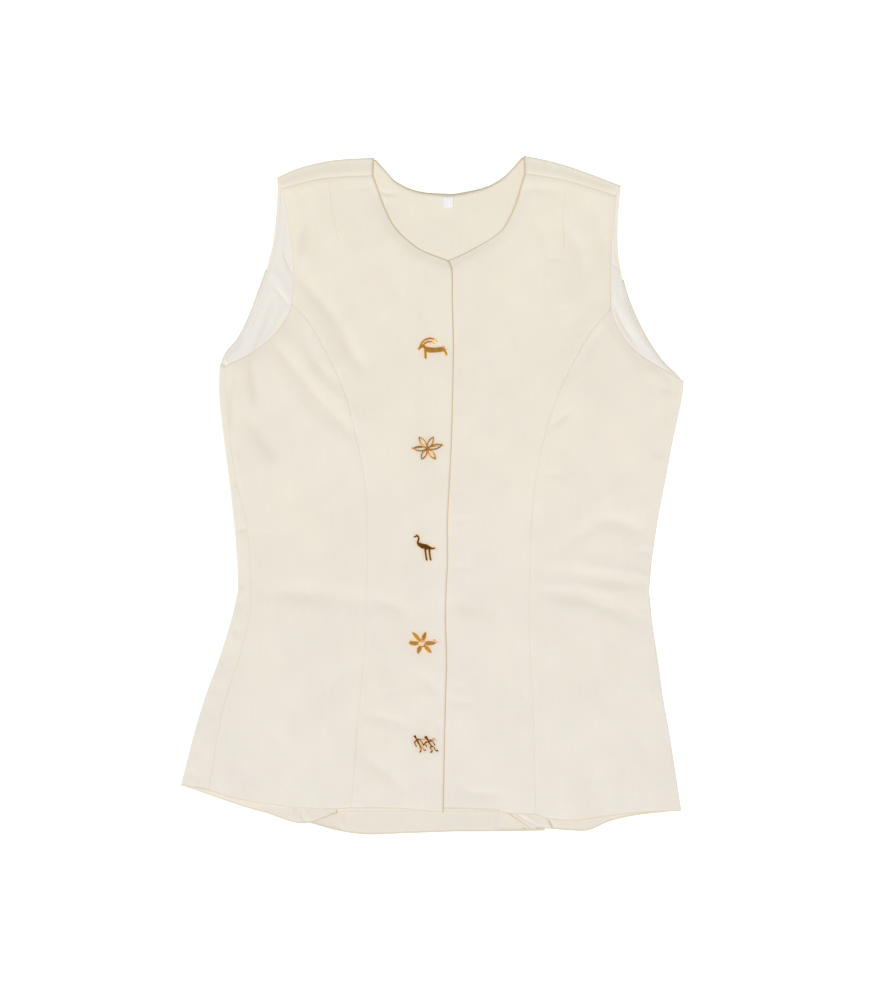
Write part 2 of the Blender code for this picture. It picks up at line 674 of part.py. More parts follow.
def turned_hems():
    """The back hem's turned-up allowance, which shows below the fronts."""
    for name, knots, first, last, side in HEM_TURN_UPS:
        line = spline(knots)
        order = np.argsort(line[:, 0])
        x = np.linspace(first, last, HEM_CELLS + 1)
        foot = np.column_stack([x, np.interp(x, line[order, 0], line[order, 1]) + HEM_INSET])
        head = moved(foot, 0.0, HEM_DEPTH)
        flat = np.stack([foot, (foot + head) / 2, head])
        base = flap_height(flat, side) if side else back_height(flat)
        cloth(name, raise_to(flat, base + ON_BACK + HEM_EASE), THIN_CLOTH, CREAM_INSIDE)


def size_label():
    """The little woven label at the back neck, with nothing on it."""
    x = np.linspace(LABEL_LOW.x, LABEL_HIGH.x, 3)
    y = np.linspace(LABEL_LOW.y, LABEL_HIGH.y, 3)
    flat = np.dstack(np.meshgrid(x, y))
    height = back_height(flat) + ON_BACK + THIN_CLOTH + GAP
    cloth("size_label", raise_to(flat, height), THIN_CLOTH, WHITE_TAPE)


def capsule(start, end, start_radius, end_radius):
    """The outline round two discs and what lies between them."""
    (x0, y0), (x1, y1) = start, end
    heading = math.atan2(y1 - y0, x1 - x0)
    length = max(math.hypot(x1 - x0, y1 - y0), 1e-6)
    lean = math.acos(max(-1.0, min(1.0, (start_radius - end_radius) / length)))
    outline = []
    for centre_x, centre_y, radius, low, high in (
        (x1, y1, end_radius, -lean, lean),
        (x0, y0, start_radius, lean, 2 * math.pi - lean),
    ):
        steps = max(2, round(ROUND_SIDES * (high - low) / (2 * math.pi)))
        for step in range(steps + 1):
            angle = heading + low + (high - low) * step / steps
            outline.append((centre_x + radius * math.cos(angle), centre_y + radius * math.sin(angle)))
    return outline


def stroke(*stops):
    """Outlines of a tapering stroke through stops of x, y and radius."""
    return [capsule(a[:2], b[:2], a[2], b[2]) for a, b in zip(stops, stops[1:])]


def petal(angle, start, end, half_width):
    """A pointed oval from one distance to another along an angle, in degrees."""
    turn = math.radians(angle)
    outline = []
    for side in (1, -1):
        for step in range(7):
            t = step / 7 if side == 1 else 1 - step / 7
            along = start + (end - start) * t
            aside = side * half_width * math.sin(math.pi * t) ** 0.8
            outline.append(
                (
                    along * math.cos(turn) - aside * math.sin(turn),
                    along * math.sin(turn) + aside * math.cos(turn),
                )
            )
    return outline


def disc(x, y, radius, sides=14):
    return [
        (x + radius * math.cos(2 * math.pi * k / sides), y + radius * math.sin(2 * math.pi * k / sides))
        for k in range(sides)
    ]


def goat():
    """Shapes and holes of a goat with long swept horns."""
    shapes = stroke((-14.6, -0.6, 0.8), (-13.2, 1.2, 1.3), (-11.0, 2.8, 1.5), (-8.6, 1.6, 1.7))
    shapes += stroke((-8.6, 1.6, 1.7), (-6.8, -0.8, 1.9), (-4.4, -1.6, 2.4), (2.0, -1.5, 2.45))
    shapes += stroke((2.0, -1.5, 2.45), (8.4, -0.7, 2.4), (10.6, -1.0, 1.9))
    shapes += stroke((-7.4, -1.5, 1.6), (-7.6, -5.5, 1.25), (-7.5, -9.6, 1.1))
    shapes += stroke((10.4, -1.0, 1.8), (12.4, -3.4, 1.35), (13.6, -6.2, 1.05))
    shapes += stroke((-12.4, 3.2, 0.95), (-11.0, 6.4, 0.9), (-7.6, 9.4, 0.85), (-3.0, 10.6, 0.8))
    shapes += stroke((-3.0, 10.6, 0.8), (1.0, 9.7, 0.7), (4.0, 7.2, 0.62))
    shapes += stroke((-9.6, 3.2, 0.9), (-8.4, 5.2, 0.85), (-5.2, 7.1, 0.75), (-1.4, 7.1, 0.65))
    shapes += stroke((-1.4, 7.1, 0.65), (0.8, 5.4, 0.55))
    return shapes, []


def open_flower():
    """Shapes and holes of a flower of six open petals."""
    shapes = [disc(0, 0, 1.3)]
    holes = []
    for angle, length in ((15, 16.2), (63, 14.0), (125, 15.2), (178, 15.0), (240, 12.6), (309, 13.8)):
        shapes.append(petal(angle, 0.2, length, 2.75))
        holes.append(petal(angle, 1.7, length - 1.6, 1.85))
    return shapes, holes


def bird():
    """Shapes and holes of a long-legged bird."""
    shapes = stroke((-9.8, 9.6, 0.45), (-8.2, 10.0, 0.75), (-6.6, 10.9, 1.15), (-5.0, 9.2, 1.0))
    shapes += stroke((-5.0, 9.2, 1.0), (-4.9, 6.6, 0.95), (-5.8, 4.2, 1.1), (-4.8, 1.8, 1.6))
    shapes += stroke((-4.8, 1.8, 1.6), (-2.0, 0.6, 2.4), (2.2, -0.4, 2.7), (5.8, -1.6, 1.9))
    shapes += stroke((5.8, -1.6, 1.9), (8.2, -2.2, 0.95), (10.8, -2.1, 0.7))
    shapes += stroke((1.8, -2.6, 1.1), (2.2, -7.0, 0.9), (2.9, -11.8, 0.85), (3.3, -13.6, 0.95))
    shapes += stroke((5.9, -2.6, 1.1), (6.3, -7.4, 0.9), (6.9, -11.8, 0.85), (7.4, -13.6, 0.95))
    return shapes, []


def solid_flower():
    """Shapes and holes of a flower of six full petals round an open middle."""
    shapes = [disc(0, 0, 4.1)]
    for angle, length in ((1, 14.7), (70, 12.5), (130, 15.0), (180, 13.9), (248, 11.8), (315, 14.1)):
        shapes.append(petal(angle, 1.6, length, 2.15))
    return shapes, [disc(-0.2, 0, 2.8)]


def walking_figure(x, y, head, stride):
    """The strokes of one small figure in mid stride, leaning back, with its shoulders at x, y."""
    shapes = stroke((x - 1.6, y + 3.1, head), (x - 0.8, y + 1.6, 0.75), (x, y, 1.2))
    shapes += stroke((x, y, 1.2), (x + 1.8, y - 2.7, 1.0), (x + 3.7, y - 5.2, 1.0))
    shapes += stroke((x - 0.4, y - 0.4, 0.85), (x - 2.2, y - 3.3, 0.7), (x - 0.6, y - 6.2, 0.65))
    shapes += stroke((x + 0.8, y + 0.1, 0.85), (x + 4.8, y - 0.3, 0.7), (x + 7.0, y - 3.2, 0.7))
    shapes += stroke((x + 7.0, y - 3.2, 0.7), (x + 7.0, y - 5.6, 0.65))
    shapes += stroke((x + 3.7, y - 5.4, 0.9), (x + 5.6, y - 8.0, 0.75), (x + 4.4, y - 11.4, 0.85))
    shapes += stroke((x + 4.2, y - 5.0, 0.85), (x + 7.8, y - 7.8, 0.75))
    shapes += stroke((x + 7.8, y - 7.8, 0.75), (x + 8.7 + stride, y - 10.4 + 0.4 * stride, 0.8))
    return shapes


def two_figures():
    """Shapes and holes of two figures that walk one behind the other."""
    shapes = walking_figure(-9.2, 4.6, 1.3, 0.0) + walking_figure(1.6, 4.1, 1.6, 1.9)
    shapes += stroke((-2.4, 1.2, 0.7), (-0.4, 0.9, 0.7))
    return shapes, []


# A row for each brooch: where its middle lies and how its pin runs from the hinge to the tip
Brooch = namedtuple("Brooch", "name x y motif hinge_x hinge_y catch_x catch_y tip_x tip_y")
BROOCHES = (
    Brooch("brooch_1_goat", -16.3, 472.3, goat, -6.8, 1.6, 11.0, 2.0, 16.0, -0.6),
    Brooch("brooch_2_open_flower", -22.1, 370.2, open_flower, -15.0, 0.6, 14.6, 4.0, 18.2, 3.6),
    Brooch("brooch_3_bird", -26.0, 271.0, bird, -2.8, 3.4, 11.6, -1.6, 14.8, -3.8),
    Brooch("brooch_4_solid_flower", -27.7, 172.3, solid_flower, -11.6, 1.8, 12.8, 2.8, 19.6, 1.0),
    Brooch("brooch_5_figures", -24.0, 69.4, two_figures, -7.4, 5.4, 8.6, 5.6, 12.8, 4.2),
)


def within(place, outline):
    """Whether a place is inside a closed outline."""
    odd = False
    for (x0, y0), (x1, y1) in zip(outline, outline[1:] + outline[:1]):
        if (y0 > place.y) != (y1 > place.y):
            odd ^= place.x < x0 + (place.y - y0) * (x1 - x0) / (y1 - y0)
    return odd


def cut_out(name, shapes, holes, x, y, low, high, finish):
    """A plate of the joined shapes without the holes, between two heights."""
    outlines = shapes + holes
    corners = [corner for outline in outlines for corner in outline]
    faces = []
    for outline in outlines:
        start = sum(len(face) for face in faces)
        faces.append(list(range(start, start + len(outline))))
    found = delaunay_2d_cdt(corners, [], faces, 1, 0.02)
    places, triangles = found[0], found[2]
    kept = []
    for triangle in triangles:
        middle = sum((places[corner] for corner in triangle), Vector((0.0, 0.0))) / 3
        covered = any(within(middle, outline) for outline in shapes)
        if covered and not any(within(middle, outline) for outline in holes):
            kept.append(triangle)
    used = sorted({corner for triangle in kept for corner in triangle})
    bm = bmesh.new()
    rings = []
    for z in (low, high):
        rings.append(
            {k: bm.verts.new(((x + places[k][0]) * MM, (y + places[k][1]) * MM, z * MM)) for k in used}
        )
    lower, upper = rings
    sides = set()
    for a, b, c in kept:
        bm.faces.new((upper[a], upper[b], upper[c]))
        bm.faces.new((lower[c], lower[b], lower[a]))
        sides |= {(a, b), (b, c), (c, a)}
    for a, b in sorted(sides):
        if (b, a) not in sides:
            bm.faces.new((upper[b], upper[a], lower[a], lower[b]))
    return add_object(name, bm, finish)


def brooches():
    """Five brooches, each a motif plate with its catch, over a pin with its hinge knob."""
    for row in BROOCHES:
        around = np.array([[row.x + dx, row.y + dy] for dx in (-12, 0, 15) for dy in (-10, 0, 10)])
        cloth_top = float(overlap_height(around).max()) + CLOTH / 2
        pin_low = cloth_top + GAP
        pin_high = pin_low + PIN_THICKNESS
        plate_low = pin_high + GAP
        pin = [disc(row.hinge_x, row.hinge_y, 1.3, 10)]
        pin += stroke(
            (row.hinge_x, row.hinge_y, 0.6),
            (row.catch_x, row.catch_y, 0.55),
            (row.tip_x, row.tip_y, 0.25),
        )
        cut_out(row.name + "_pin", pin, [], row.x, row.y, pin_low, pin_high, GOLD)
        shapes, holes = row.motif()
        shapes = shapes + stroke(
            (row.catch_x - 3.0, row.catch_y - 1.4, 0.9),
            (row.catch_x, row.catch_y, 0.8),
            (row.catch_x + 1.2, row.catch_y + 1.8, 0.6),
        )
        cut_out(
            row.name, shapes, holes, row.x, row.y, plate_low, plate_low + PLATE_THICKNESS, GOLD
        )


def centre_on_base():
    """Hangs every piece on one empty that puts the middle of the base at the origin."""
    pieces = [piece for piece in bpy.context.scene.objects if piece.type == "MESH"]
    corners = np.array([vertex.co for piece in pieces for vertex in piece.data.vertices])
    low, high = corners.min(axis=0), corners.max(axis=0)
    holder = bpy.data.objects.new("waistcoat", None)
    holder.location = (-(low[0] + high[0]) / 2, -(low[1] + high[1]) / 2, -low[2])
    bpy.context.collection.objects.link(holder)
    for piece in pieces:
        piece.parent = holder


def build():
    for old in list(bpy.data.objects):
        bpy.data.objects.remove(old)
    front_right()
    front_left()
    back_centre(
        "back_centre_right",
        "right",
        BACK_TOP_RIGHT,
        ARM_BACK_RIGHT_HIGH,
        NECK_BACK_RIGHT,
        SHOULDER_FOLD_RIGHT,
        SHOULDER_SEAM_RIGHT,
        HEM_BACK_RIGHT,
        RIGHT_CELLS,
    )
    back_centre(
        "back_centre_left",
        "left",
        BACK_TOP_LEFT,
        ARM_BACK_LEFT_HIGH,
        NECK_BACK_LEFT,
        SHOULDER_FOLD_LEFT,
        SHOULDER_SEAM_LEFT,
        HEM_BACK_LEFT,
        LEFT_CELLS,
    )
    back_side_right()
    back_side_left()
    neck_facing()
    armhole_linings()
    turned_hems()
    size_label()
    brooches()
    centre_on_base()


build()
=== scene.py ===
"""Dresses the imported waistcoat: its cream cloth, folds, seams and stitches, and its gold brooches.

It lies on its back with X towards the wearer's left, Y from the hem to the neck and Z upward.
The tables are in millimetres from the foot of the front opening. placed() turns them into the
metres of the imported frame.
"""

import math
from collections import namedtuple

import bmesh
import bpy
import numpy as np
from mathutils import Matrix, Vector, kdtree
from mathutils.geometry import delaunay_2d_cdt


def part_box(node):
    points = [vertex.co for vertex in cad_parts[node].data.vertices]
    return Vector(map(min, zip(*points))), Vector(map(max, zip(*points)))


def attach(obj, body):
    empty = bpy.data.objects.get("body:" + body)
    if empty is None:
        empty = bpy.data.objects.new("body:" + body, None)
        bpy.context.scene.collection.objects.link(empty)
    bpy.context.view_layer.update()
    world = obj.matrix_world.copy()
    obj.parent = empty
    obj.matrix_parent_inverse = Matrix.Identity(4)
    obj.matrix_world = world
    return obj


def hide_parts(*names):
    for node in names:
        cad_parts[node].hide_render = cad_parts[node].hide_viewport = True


bl_info = {
    "name": "Laid waistcoat",
    "version": (1, 0, 0),
    "blender": (4, 5, 0),
    "location": "View3D > Sidebar > Waistcoat",
    "description": "Sews a fitted waistcoat, laid flat and fastened with five gold brooches",
    "category": "Object",
}

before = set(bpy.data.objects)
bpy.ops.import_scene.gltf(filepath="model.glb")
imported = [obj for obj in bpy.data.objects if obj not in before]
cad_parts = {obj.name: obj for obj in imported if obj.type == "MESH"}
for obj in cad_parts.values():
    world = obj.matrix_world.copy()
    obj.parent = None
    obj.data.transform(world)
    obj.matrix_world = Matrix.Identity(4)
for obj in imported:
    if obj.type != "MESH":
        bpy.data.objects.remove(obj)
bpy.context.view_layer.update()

MM = 0.001

# Where the tables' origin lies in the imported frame, in millimetres, from the middle of the label
LABEL_MIDDLE = (-0.65, 622.25)
label_low, label_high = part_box("size_label")
ORIGIN = np.array(
    [(label_low[axis] + label_high[axis]) / 2 / MM - LABEL_MIDDLE[axis] for axis in (0, 1)] + [0.0]
)

# Thicknesses and heights of the layers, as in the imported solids
CLOTH = 1.2
THIN_CLOTH = 0.8
TAPE = 0.4
GAP = 0.3
BACK_Z = CLOTH / 2
ON_BACK = CLOTH / 2 + GAP + THIN_CLOTH / 2
FRONT_Z = 5.0
OVERLAP_RISE = CLOTH + 0.4
OVERLAP_RAMP = (-62.0, -31.0)
UNDERLAP_X = -28.5
FOLD_RADIUS = (FRONT_Z - BACK_Z) / 2
FOLD_INSET = FOLD_RADIUS + CLOTH / 2
SEAM_ANGLE = 0.4
FLAP_RISE = CLOTH + GAP
FLAP_CLEAR = 1.5
FLAP_RAMP = 30.0
FLAP_TOP_Y = 262.0
FLAP_FADE = 25.0
HEM_DEPTH = 27.5
HEM_EASE = 0.2
HEM_INSET = 0.6
HEM_END_SINK = 1.5
HEM_END_REACH = 6.0
WAIST_Y = 225.0

# Half the thickness of a tan line along a fold in the hem and of the tucked edge in the lining
FOLD_LINE_RADIUS = 0.5
TUCK_RADIUS = 0.26

# Painted shade: its colour, the height below which the back and the hem take it where the fronts
# shade them, how much of it they take there, how much the hollows of the lining take, and the
# height above which the fronts' folds take theirs
EDGE_SHADE = (0.63, 0.56, 0.445, 1.0)
HEM_SHADE_TOP = 8.0
BACK_HEM_SHADE = 0.07
TURN_UP_HEM_SHADE = 0.06
TROUGH_SHADE = 0.09
SHADED_ABOVE = 2.6

# How far apart two panels stay at a seam, and where the allowance behind a seam stands up
SEAM_HALF_GAP = 0.01
ALLOWANCE_MIDDLE = 4.5
ALLOWANCE_REACH = 2.6

# A row for each kind of edge: how far it dips and how far in that reaches, how much the cloth
# stands up over the allowance behind it, how much painted shade it takes along the edge, first
# EDGE_SHADE and then tan, and how far in, and whether its rim is thin and round
EdgeKind = namedtuple("EdgeKind", "dip reach rise tan tan_reach round")
EDGE_KINDS = {
    "seam": EdgeKind(0.15, 1.0, 0.1, 0.13, 0.5, False),
    "side_seam": EdgeKind(0.15, 1.0, 0.1, 0.14, 0.5, False),
    "shoulder_seam": EdgeKind(0.26, 1.1, 0.16, 0.22, 0.5, False),
    "edge": EdgeKind(0.2, 1.4, 0.0, 0.5, 1.0, True),
    "armhole": EdgeKind(0.12, 1.2, 0.0, 0.22, 0.8, True),
    "neckline": EdgeKind(0.05, 1.4, 0.0, 0.8, 1.5, True),
    "opening": EdgeKind(0.13, 1.6, 0.0, 1.0, 1.0, True),
    "side_fold": EdgeKind(0.0, 1.0, 0.0, 0.3, 0.7, False),
    "plain": EdgeKind(0.15, 1.0, 0.0, 0.0, 1.0, True),
    "none": EdgeKind(0.0, 1.0, 0.0, 0.0, 1.0, True),
}

# Where a rim has its finer rows, how far in it is rounded, and how thin it ends
RIM_STOPS = (0.22, 0.7)
RIM_ROUND = 0.62
RIM_LEFT = 0.2

# How far the fronts hang down at the neckline and the armholes, and roll over into the folds
EDGE_DROOP = 2.1
DROOP_REACH = 7.0
SHOULDER_ROLL = 1.7
SHOULDER_ROLL_REACH = 7.5
SIDE_ROLL = 0.8
SIDE_ROLL_REACH = 5.0

# Where the opening's upper edge stands up: the middle, the reach and the height of each part,
# then how far in from the edge it goes
EDGE_STANDS = ((235.0, 88.0, 1.0), (412.0, 40.0, 0.3))
EDGE_STAND_REACH = 13.0

# The lining's pucker along its stitched edge: its height, its pitch, how far in it starts to
# fade, and over what it fades and begins
PUCKER = 0.13
PUCKER_PITCH = 2.6
PUCKER_END = 6.5
PUCKER_FADE = 3.0
PUCKER_START = 1.5

# Farther than any point lies from an edge
FAR_AWAY = 1000.0

# How finely the panels are cut, in cells, and the hem in cells for each millimetre
FRONT_BODY_CELLS = 228
FRONT_TOP_CELLS = 86
CENTRE_CELLS = 60
SIDE_CELLS = 62
FOLD_CELLS = 8
BACK_LOW_CELLS = 62
BACK_HIGH_CELLS = 64
BACK_TOP_CELLS = 34
BACK_CELLS = 26
STRIP_CELLS = 9
HEM_CUTS = 1.1

# Brooches: the grain of their cast surface, how full their strokes are, their rounded rim and the
# painted light and shade along it, and the lines cut into their top
BROOCH_PLATE = 1.1
BROOCH_VOXEL = 0.17
BROOCH_GROWTH = 0.14
RIM_LIGHT_SHADE = 0.8
RIM_LIGHT_SHADE_SPREAD = 1.43
BEVEL_RADIUS = 0.42
BEVEL_RISE = 0.42
BEVEL_FROM = 0.4
BEVEL_BLEND = 0.5
GROOVE_REACH = 0.3
GROOVE_DEPTH = 0.12
OUTLINE_STEP = 0.12
ROUND_SIDES = 24

# The pin behind a brooch: its height, its thickness, where and how fast it tapers, its hinge
# and its hook
PIN_LIFT = 0.45
PIN_RADIUS = 0.42
PIN_STEPS = 24
PIN_TAPER_FROM = 17
PIN_TAPER = 0.05
HINGE_RADIUS = 1.05
HOOK_STEPS = 14
HOOK_RADIUS = 0.38

# How much of each stitch's thickness is left where it dips into the cloth
STITCH_ENDS = 0.7

# The weave's waves for a pitch of one, its closer weft, its slubs along Y and along X, and the
# cooler tone towards the hem
WAVE_PER_PITCH = 0.314
WEFT_SHARE = 0.86
SLUBS_ALONG_Y = (900.0, 22.0, 900.0)
SLUBS_ALONG_X = (22.0, 900.0, 900.0)
COOL_TONE = (0.985, 0.99, 1.045, 1.0)

# Whites that no user would change: the label, its shaded threads, and the white thread
LABEL_WHITE = (0.93, 0.93, 0.925, 1.0)
LABEL_SHADE = (0.87, 0.87, 0.865, 1.0)
THREAD_WHITE = (0.85, 0.84, 0.81, 1.0)
THREAD_SHADE = (0.78, 0.77, 0.73, 1.0)

# The floor lies just below the waistcoat, in metres, and its tone is all but even
FLOOR_LEVEL = -0.0003
FLOOR_TONES = ((0.955, 0.955, 0.955, 1.0), (0.97, 0.97, 0.97, 1.0))
LAMP_DISTANCE = 2.0

# What the middle of the picture shows
PICTURE_MIDDLE = (-12.24, 318.24)

# A row for each level across the body, with where each fold, seam and edge crosses it.
# The side folds are the outline, and back_ and flap_ are the edges of the tucked back panels.
Level = namedtuple(
    "Level",
    "y fold_right seam_right princess_right back_right flap_right edge flap_left back_left"
    " princess_left fold_left",
)
LEVELS = (
    Level(-30, -288.8, -252.5, -102.5, -150.0, -117.0, -6.0, 54.5, 98.5, 89.0, 242.0),
    Level(0, -280.8, -248.0, -100.0, -144.0, -115.0, -5.5, 58.0, 97.0, 88.5, 237.5),
    Level(75, -261.8, -236.5, -94.0, -129.5, -110.0, -4.0, 66.5, 94.0, 87.0, 226.0),
    Level(115, -249.8, -228.0, -91.0, -120.5, -107.0, -3.0, 72.5, 91.0, 85.5, 219.0),
    Level(155, -235.3, -215.0, -86.5, -111.0, -104.0, -2.0, 77.5, 87.5, 83.5, 213.5),
    Level(195, -222.8, -204.0, -84.5, -104.0, -102.0, -3.0, 81.5, 85.5, 82.0, 207.5),
    Level(225, -215.8, -201.5, -83.5, -101.0, -101.0, -2.5, 84.5, 84.5, 82.5, 204.5),
    Level(257, -216.8, -202.5, -83.0, -100.0, -100.0, -1.0, 84.5, 84.5, 83.0, 207.5),
    Level(298, -220.3, -207.0, -83.0, -101.0, -101.0, -1.0, 86.5, 86.5, 84.5, 213.5),
    Level(338, -224.8, -217.0, -86.0, -104.0, -104.0, 1.0, 91.0, 91.0, 88.5, 221.0),
    Level(380, -230.3, -223.0, -94.0, -109.0, -109.0, 3.0, 97.0, 97.0, 96.5, 229.0),
    Level(420, -234.8, -226.5, -104.0, -118.5, -118.5, 4.0, 107.0, 107.0, 109.0, 237.5),
    Level(441, -235.3, -228.0, -111.5, -125.5, -125.5, 4.5, 115.0, 115.0, 118.0, 240.0),
    Level(457, -234.0, -228.5, -118.5, -131.5, -131.5, 5.0, 122.0, 122.0, 126.0, 238.5),
)

# A place on the laid waistcoat, seen from above
Point = namedtuple("Point", "x y")


def points(*pairs):
    """Places of the tables from their pairs of x and y."""
    return tuple(Point(*pair) for pair in pairs)


# The free edges, each from its first end to its last
PRINCESS_TOP_RIGHT = points((-131, 480), (-146.5, 505), (-160.5, 519))
PRINCESS_TOP_LEFT = points((139.5, 481.5), (154, 501), (165.5, 513.5))
BACK_TOP_RIGHT = points((-139.5, 476.5), (-162, 514), (-186.5, 553))
BACK_TOP_LEFT = points((131.5, 476.5), (154, 514), (177.5, 542.5))
EDGE_TOP = points((5, 474.5), (4, 521), (3.5, 553), (0, 562.5))

ARM_FRONT_RIGHT_LOW = points(
    (-228.5, 455), (-203, 467.5), (-181.5, 484.5), (-166.5, 503), (-160.5, 519),
)
ARM_FRONT_RIGHT_HIGH = points((-160.5, 519), (-159.3, 560), (-163, 591.5), (-170.5, 636))
ARM_FRONT_LEFT_LOW = points(
    (238.5, 440.5), (215, 454), (196, 466), (182, 479.5), (170.5, 498), (165.5, 513.5),
)
ARM_FRONT_LEFT_HIGH = points((165.5, 513.5), (165.5, 544.5), (166.5, 580.5), (170.5, 628.5))
ARM_BACK_RIGHT_LOW = points(
    (-234, 457), (-227.5, 469), (-216, 483), (-206, 502), (-198, 522), (-186.5, 553),
)
ARM_BACK_RIGHT_HIGH = points((-186.5, 553), (-179.5, 583.5), (-175.5, 624), (-175.5, 647.5))
ARM_BACK_LEFT_LOW = points(
    (238.5, 440.5), (217.5, 461), (203, 481.5), (192, 502), (183.5, 522), (177.5, 542.5),
)
ARM_BACK_LEFT_HIGH = points((177.5, 542.5), (173.2, 568), (172.5, 600), (175.5, 639.5))

NECK_FRONT_RIGHT = points(
    (0, 562.5), (-27, 573), (-43.5, 585), (-56, 598.5), (-65.5, 617.5), (-72.5, 636.5),
    (-77, 649),
)
NECK_FRONT_LEFT = points(
    (UNDERLAP_X, 555), (0, 563), (32, 578.8), (51, 591.2), (60, 604), (67.6, 621.5),
    (76.5, 651),
)
NECK_BACK_RIGHT = points(
    (5, 631), (-23.5, 632.5), (-40, 636.5), (-55, 644.5), (-63, 653), (-76.5, 668),
)
NECK_BACK_LEFT = points((5, 631), (30.5, 636), (43, 640.5), (56, 648.5), (64.5, 657), (76, 670))

SHOULDER_SEAM_RIGHT = points((-170.5, 636), (-134.5, 645), (-106, 648), (-77, 649))
SHOULDER_SEAM_LEFT = points((76.5, 651), (98, 648), (121.5, 643.5), (170.5, 628.5))
SHOULDER_FOLD_RIGHT = points((-175.5, 647.5), (-154, 657), (-119.5, 665), (-76.5, 668))
SHOULDER_FOLD_LEFT = points((76, 670), (101, 665), (128.5, 657), (175.5, 639.5))

HEM_FRONT_RIGHT_SIDE = points((-244.5, 21.5), (-212, 12), (-158, 5), (-120.5, 3.0), (-99.5, 4.0))
HEM_FRONT_RIGHT = points((-99.5, 4.0), (-50, 3.5), (-5.5, -0.5))
HEM_FRONT_LEFT = points((UNDERLAP_X, 4), (-5.5, 3.5), (48.5, 1.5), (58, -1.5), (88.5, -3))
HEM_FRONT_LEFT_SIDE = points(
    (88.5, -3), (102.5, -7.5), (130.5, -9), (158.5, -5), (195, -1), (236, 1),
)
HEM_BACK_RIGHT_SIDE = points((-115, -2), (-150, -12), (-188.5, -1), (-210, 5), (-273, 26.5))
HEM_BACK_RIGHT = points((-146, -10.5), (-114, -19.5), (-84.5, -23.5), (-50, -22.5), (5, -20.5))
HEM_BACK_LEFT = points((5, -20.5), (31.5, -20.5), (76.5, -20), (98, -19.5))
HEM_BACK_LEFT_SIDE = points(
    (58, -1), (71, -9), (86, -19), (89.5, -17), (104, -17.6), (125.5, -19.5), (143, -19),
    (164, -10), (190.5, -4), (236, 1),
)

# A row for each turned-up part of the back hem: the hem that it follows, from where to where,
# and the side of the panel that it lies on
HemTurnUp = namedtuple("HemTurnUp", "name knots first last side")
HEM_TURN_UPS = (
    HemTurnUp("back_hem_right_side", HEM_BACK_RIGHT_SIDE, -118.5, -261.0, "right"),
    HemTurnUp("back_hem_centre", HEM_BACK_RIGHT[1:] + HEM_BACK_LEFT[1:3], -112.0, 55.0, None),
    HemTurnUp("back_hem_left_side", HEM_BACK_LEFT_SIDE, 63.0, 226.0, "left"),
)

# Two opposite corners of the size label
LABEL_LOW = Point(-6.5, 616.5)
LABEL_HIGH = Point(5.2, 628.0)

# Where the seams, the folds and the opening start at the hem and end at the armhole
UNDERARM_Y = 457.0
EDGE_FOOT_Y = 1.0
PRINCESS_FOOT_RIGHT_Y = 5.5
PRINCESS_FOOT_LEFT_Y = -3.0
SEAM_RIGHT_SPAN = (21.5, 455.0)
FOLD_RIGHT_SPAN = (26.5, 457.0)
FOLD_LEFT_SPAN = (1.0, 440.5)
FLAP_FOOT_RIGHT_Y = -2.0
FLAP_FOOT_LEFT_Y = -1.0

# A row for each large crease of the fronts: its line through three points, how far it rises or
# sinks and how far it reaches to each side
Crease = namedtuple("Crease", "name x0 y0 x1 y1 x2 y2 rise reach")


def creases(*rows):
    """A table of creases from its rows."""
    return tuple(Crease(*row) for row in rows)


CREASES = creases(
    ("armhole_to_bust_right", -153, 550, -118, 498, -88, 454, -1.5, 8),
    ("beside_armhole_right", -144, 627, -144, 599, -148, 577, -0.9, 7),
    ("underarm_right", -180, 477, -144, 425, -97, 382, -1.9, 8),
    ("above_underarm_right", -168, 487, -130, 436, -88, 396, 1.1, 8),
    ("along_princess_right", -149, 491, -134, 456, -113, 436, -0.8, 6),
    ("side_high_right", -205, 461, -203, 440, -198, 421, -0.9, 7),
    ("side_low_right", -205, 398, -193, 378, -180, 360, -0.9, 8),
    ("waist_break_right", -202, 224, -150, 223, -60, 211, -1.2, 10),
    ("waist_upper_left", 93, 243, 145, 241, 203, 231, -1.0, 8),
    ("waist_ridge_left", 140, 250, 178, 245, 203, 240, 0.9, 8),
    ("waist_main_left", 91, 222, 145, 216, 205, 189, -1.9, 8),
    ("waist_high_left", 107, 264, 160, 296, 205, 284, -1.5, 8),
    ("shoulder_left", 124, 593, 132, 575, 137, 545, -1.3, 7),
    ("beside_armhole_left", 145, 622, 154, 599, 159, 568, -0.9, 7),
    ("bust_left", 154, 528, 118, 484, 98, 430, -1.1, 9),
    ("side_high_left", 212, 440, 210, 410, 205, 381, -0.9, 7),
    ("hem_flute_left", 113, 175, 118, 80, 118, -12, 1.4, 18),
    ("hem_fold_left", 145, 46, 146, 20, 145, -5, -0.8, 9),
    ("hem_flute_right", -160, 150, -178, 80, -190, 8, 1.2, 22),
)

# A row for each broad swell of the fronts, from the shaping that the seams hold
Swell = namedtuple("Swell", "name x y rise reach_x reach_y")
SWELLS = (
    Swell("bust_right", -112, 425, 3.2, 52, 75),
    Swell("bust_left", 118, 420, 3.0, 52, 75),
    Swell("hip_right", -150, 110, 1.6, 60, 70),
    Swell("hip_left", 125, 105, 1.6, 60, 70),
)

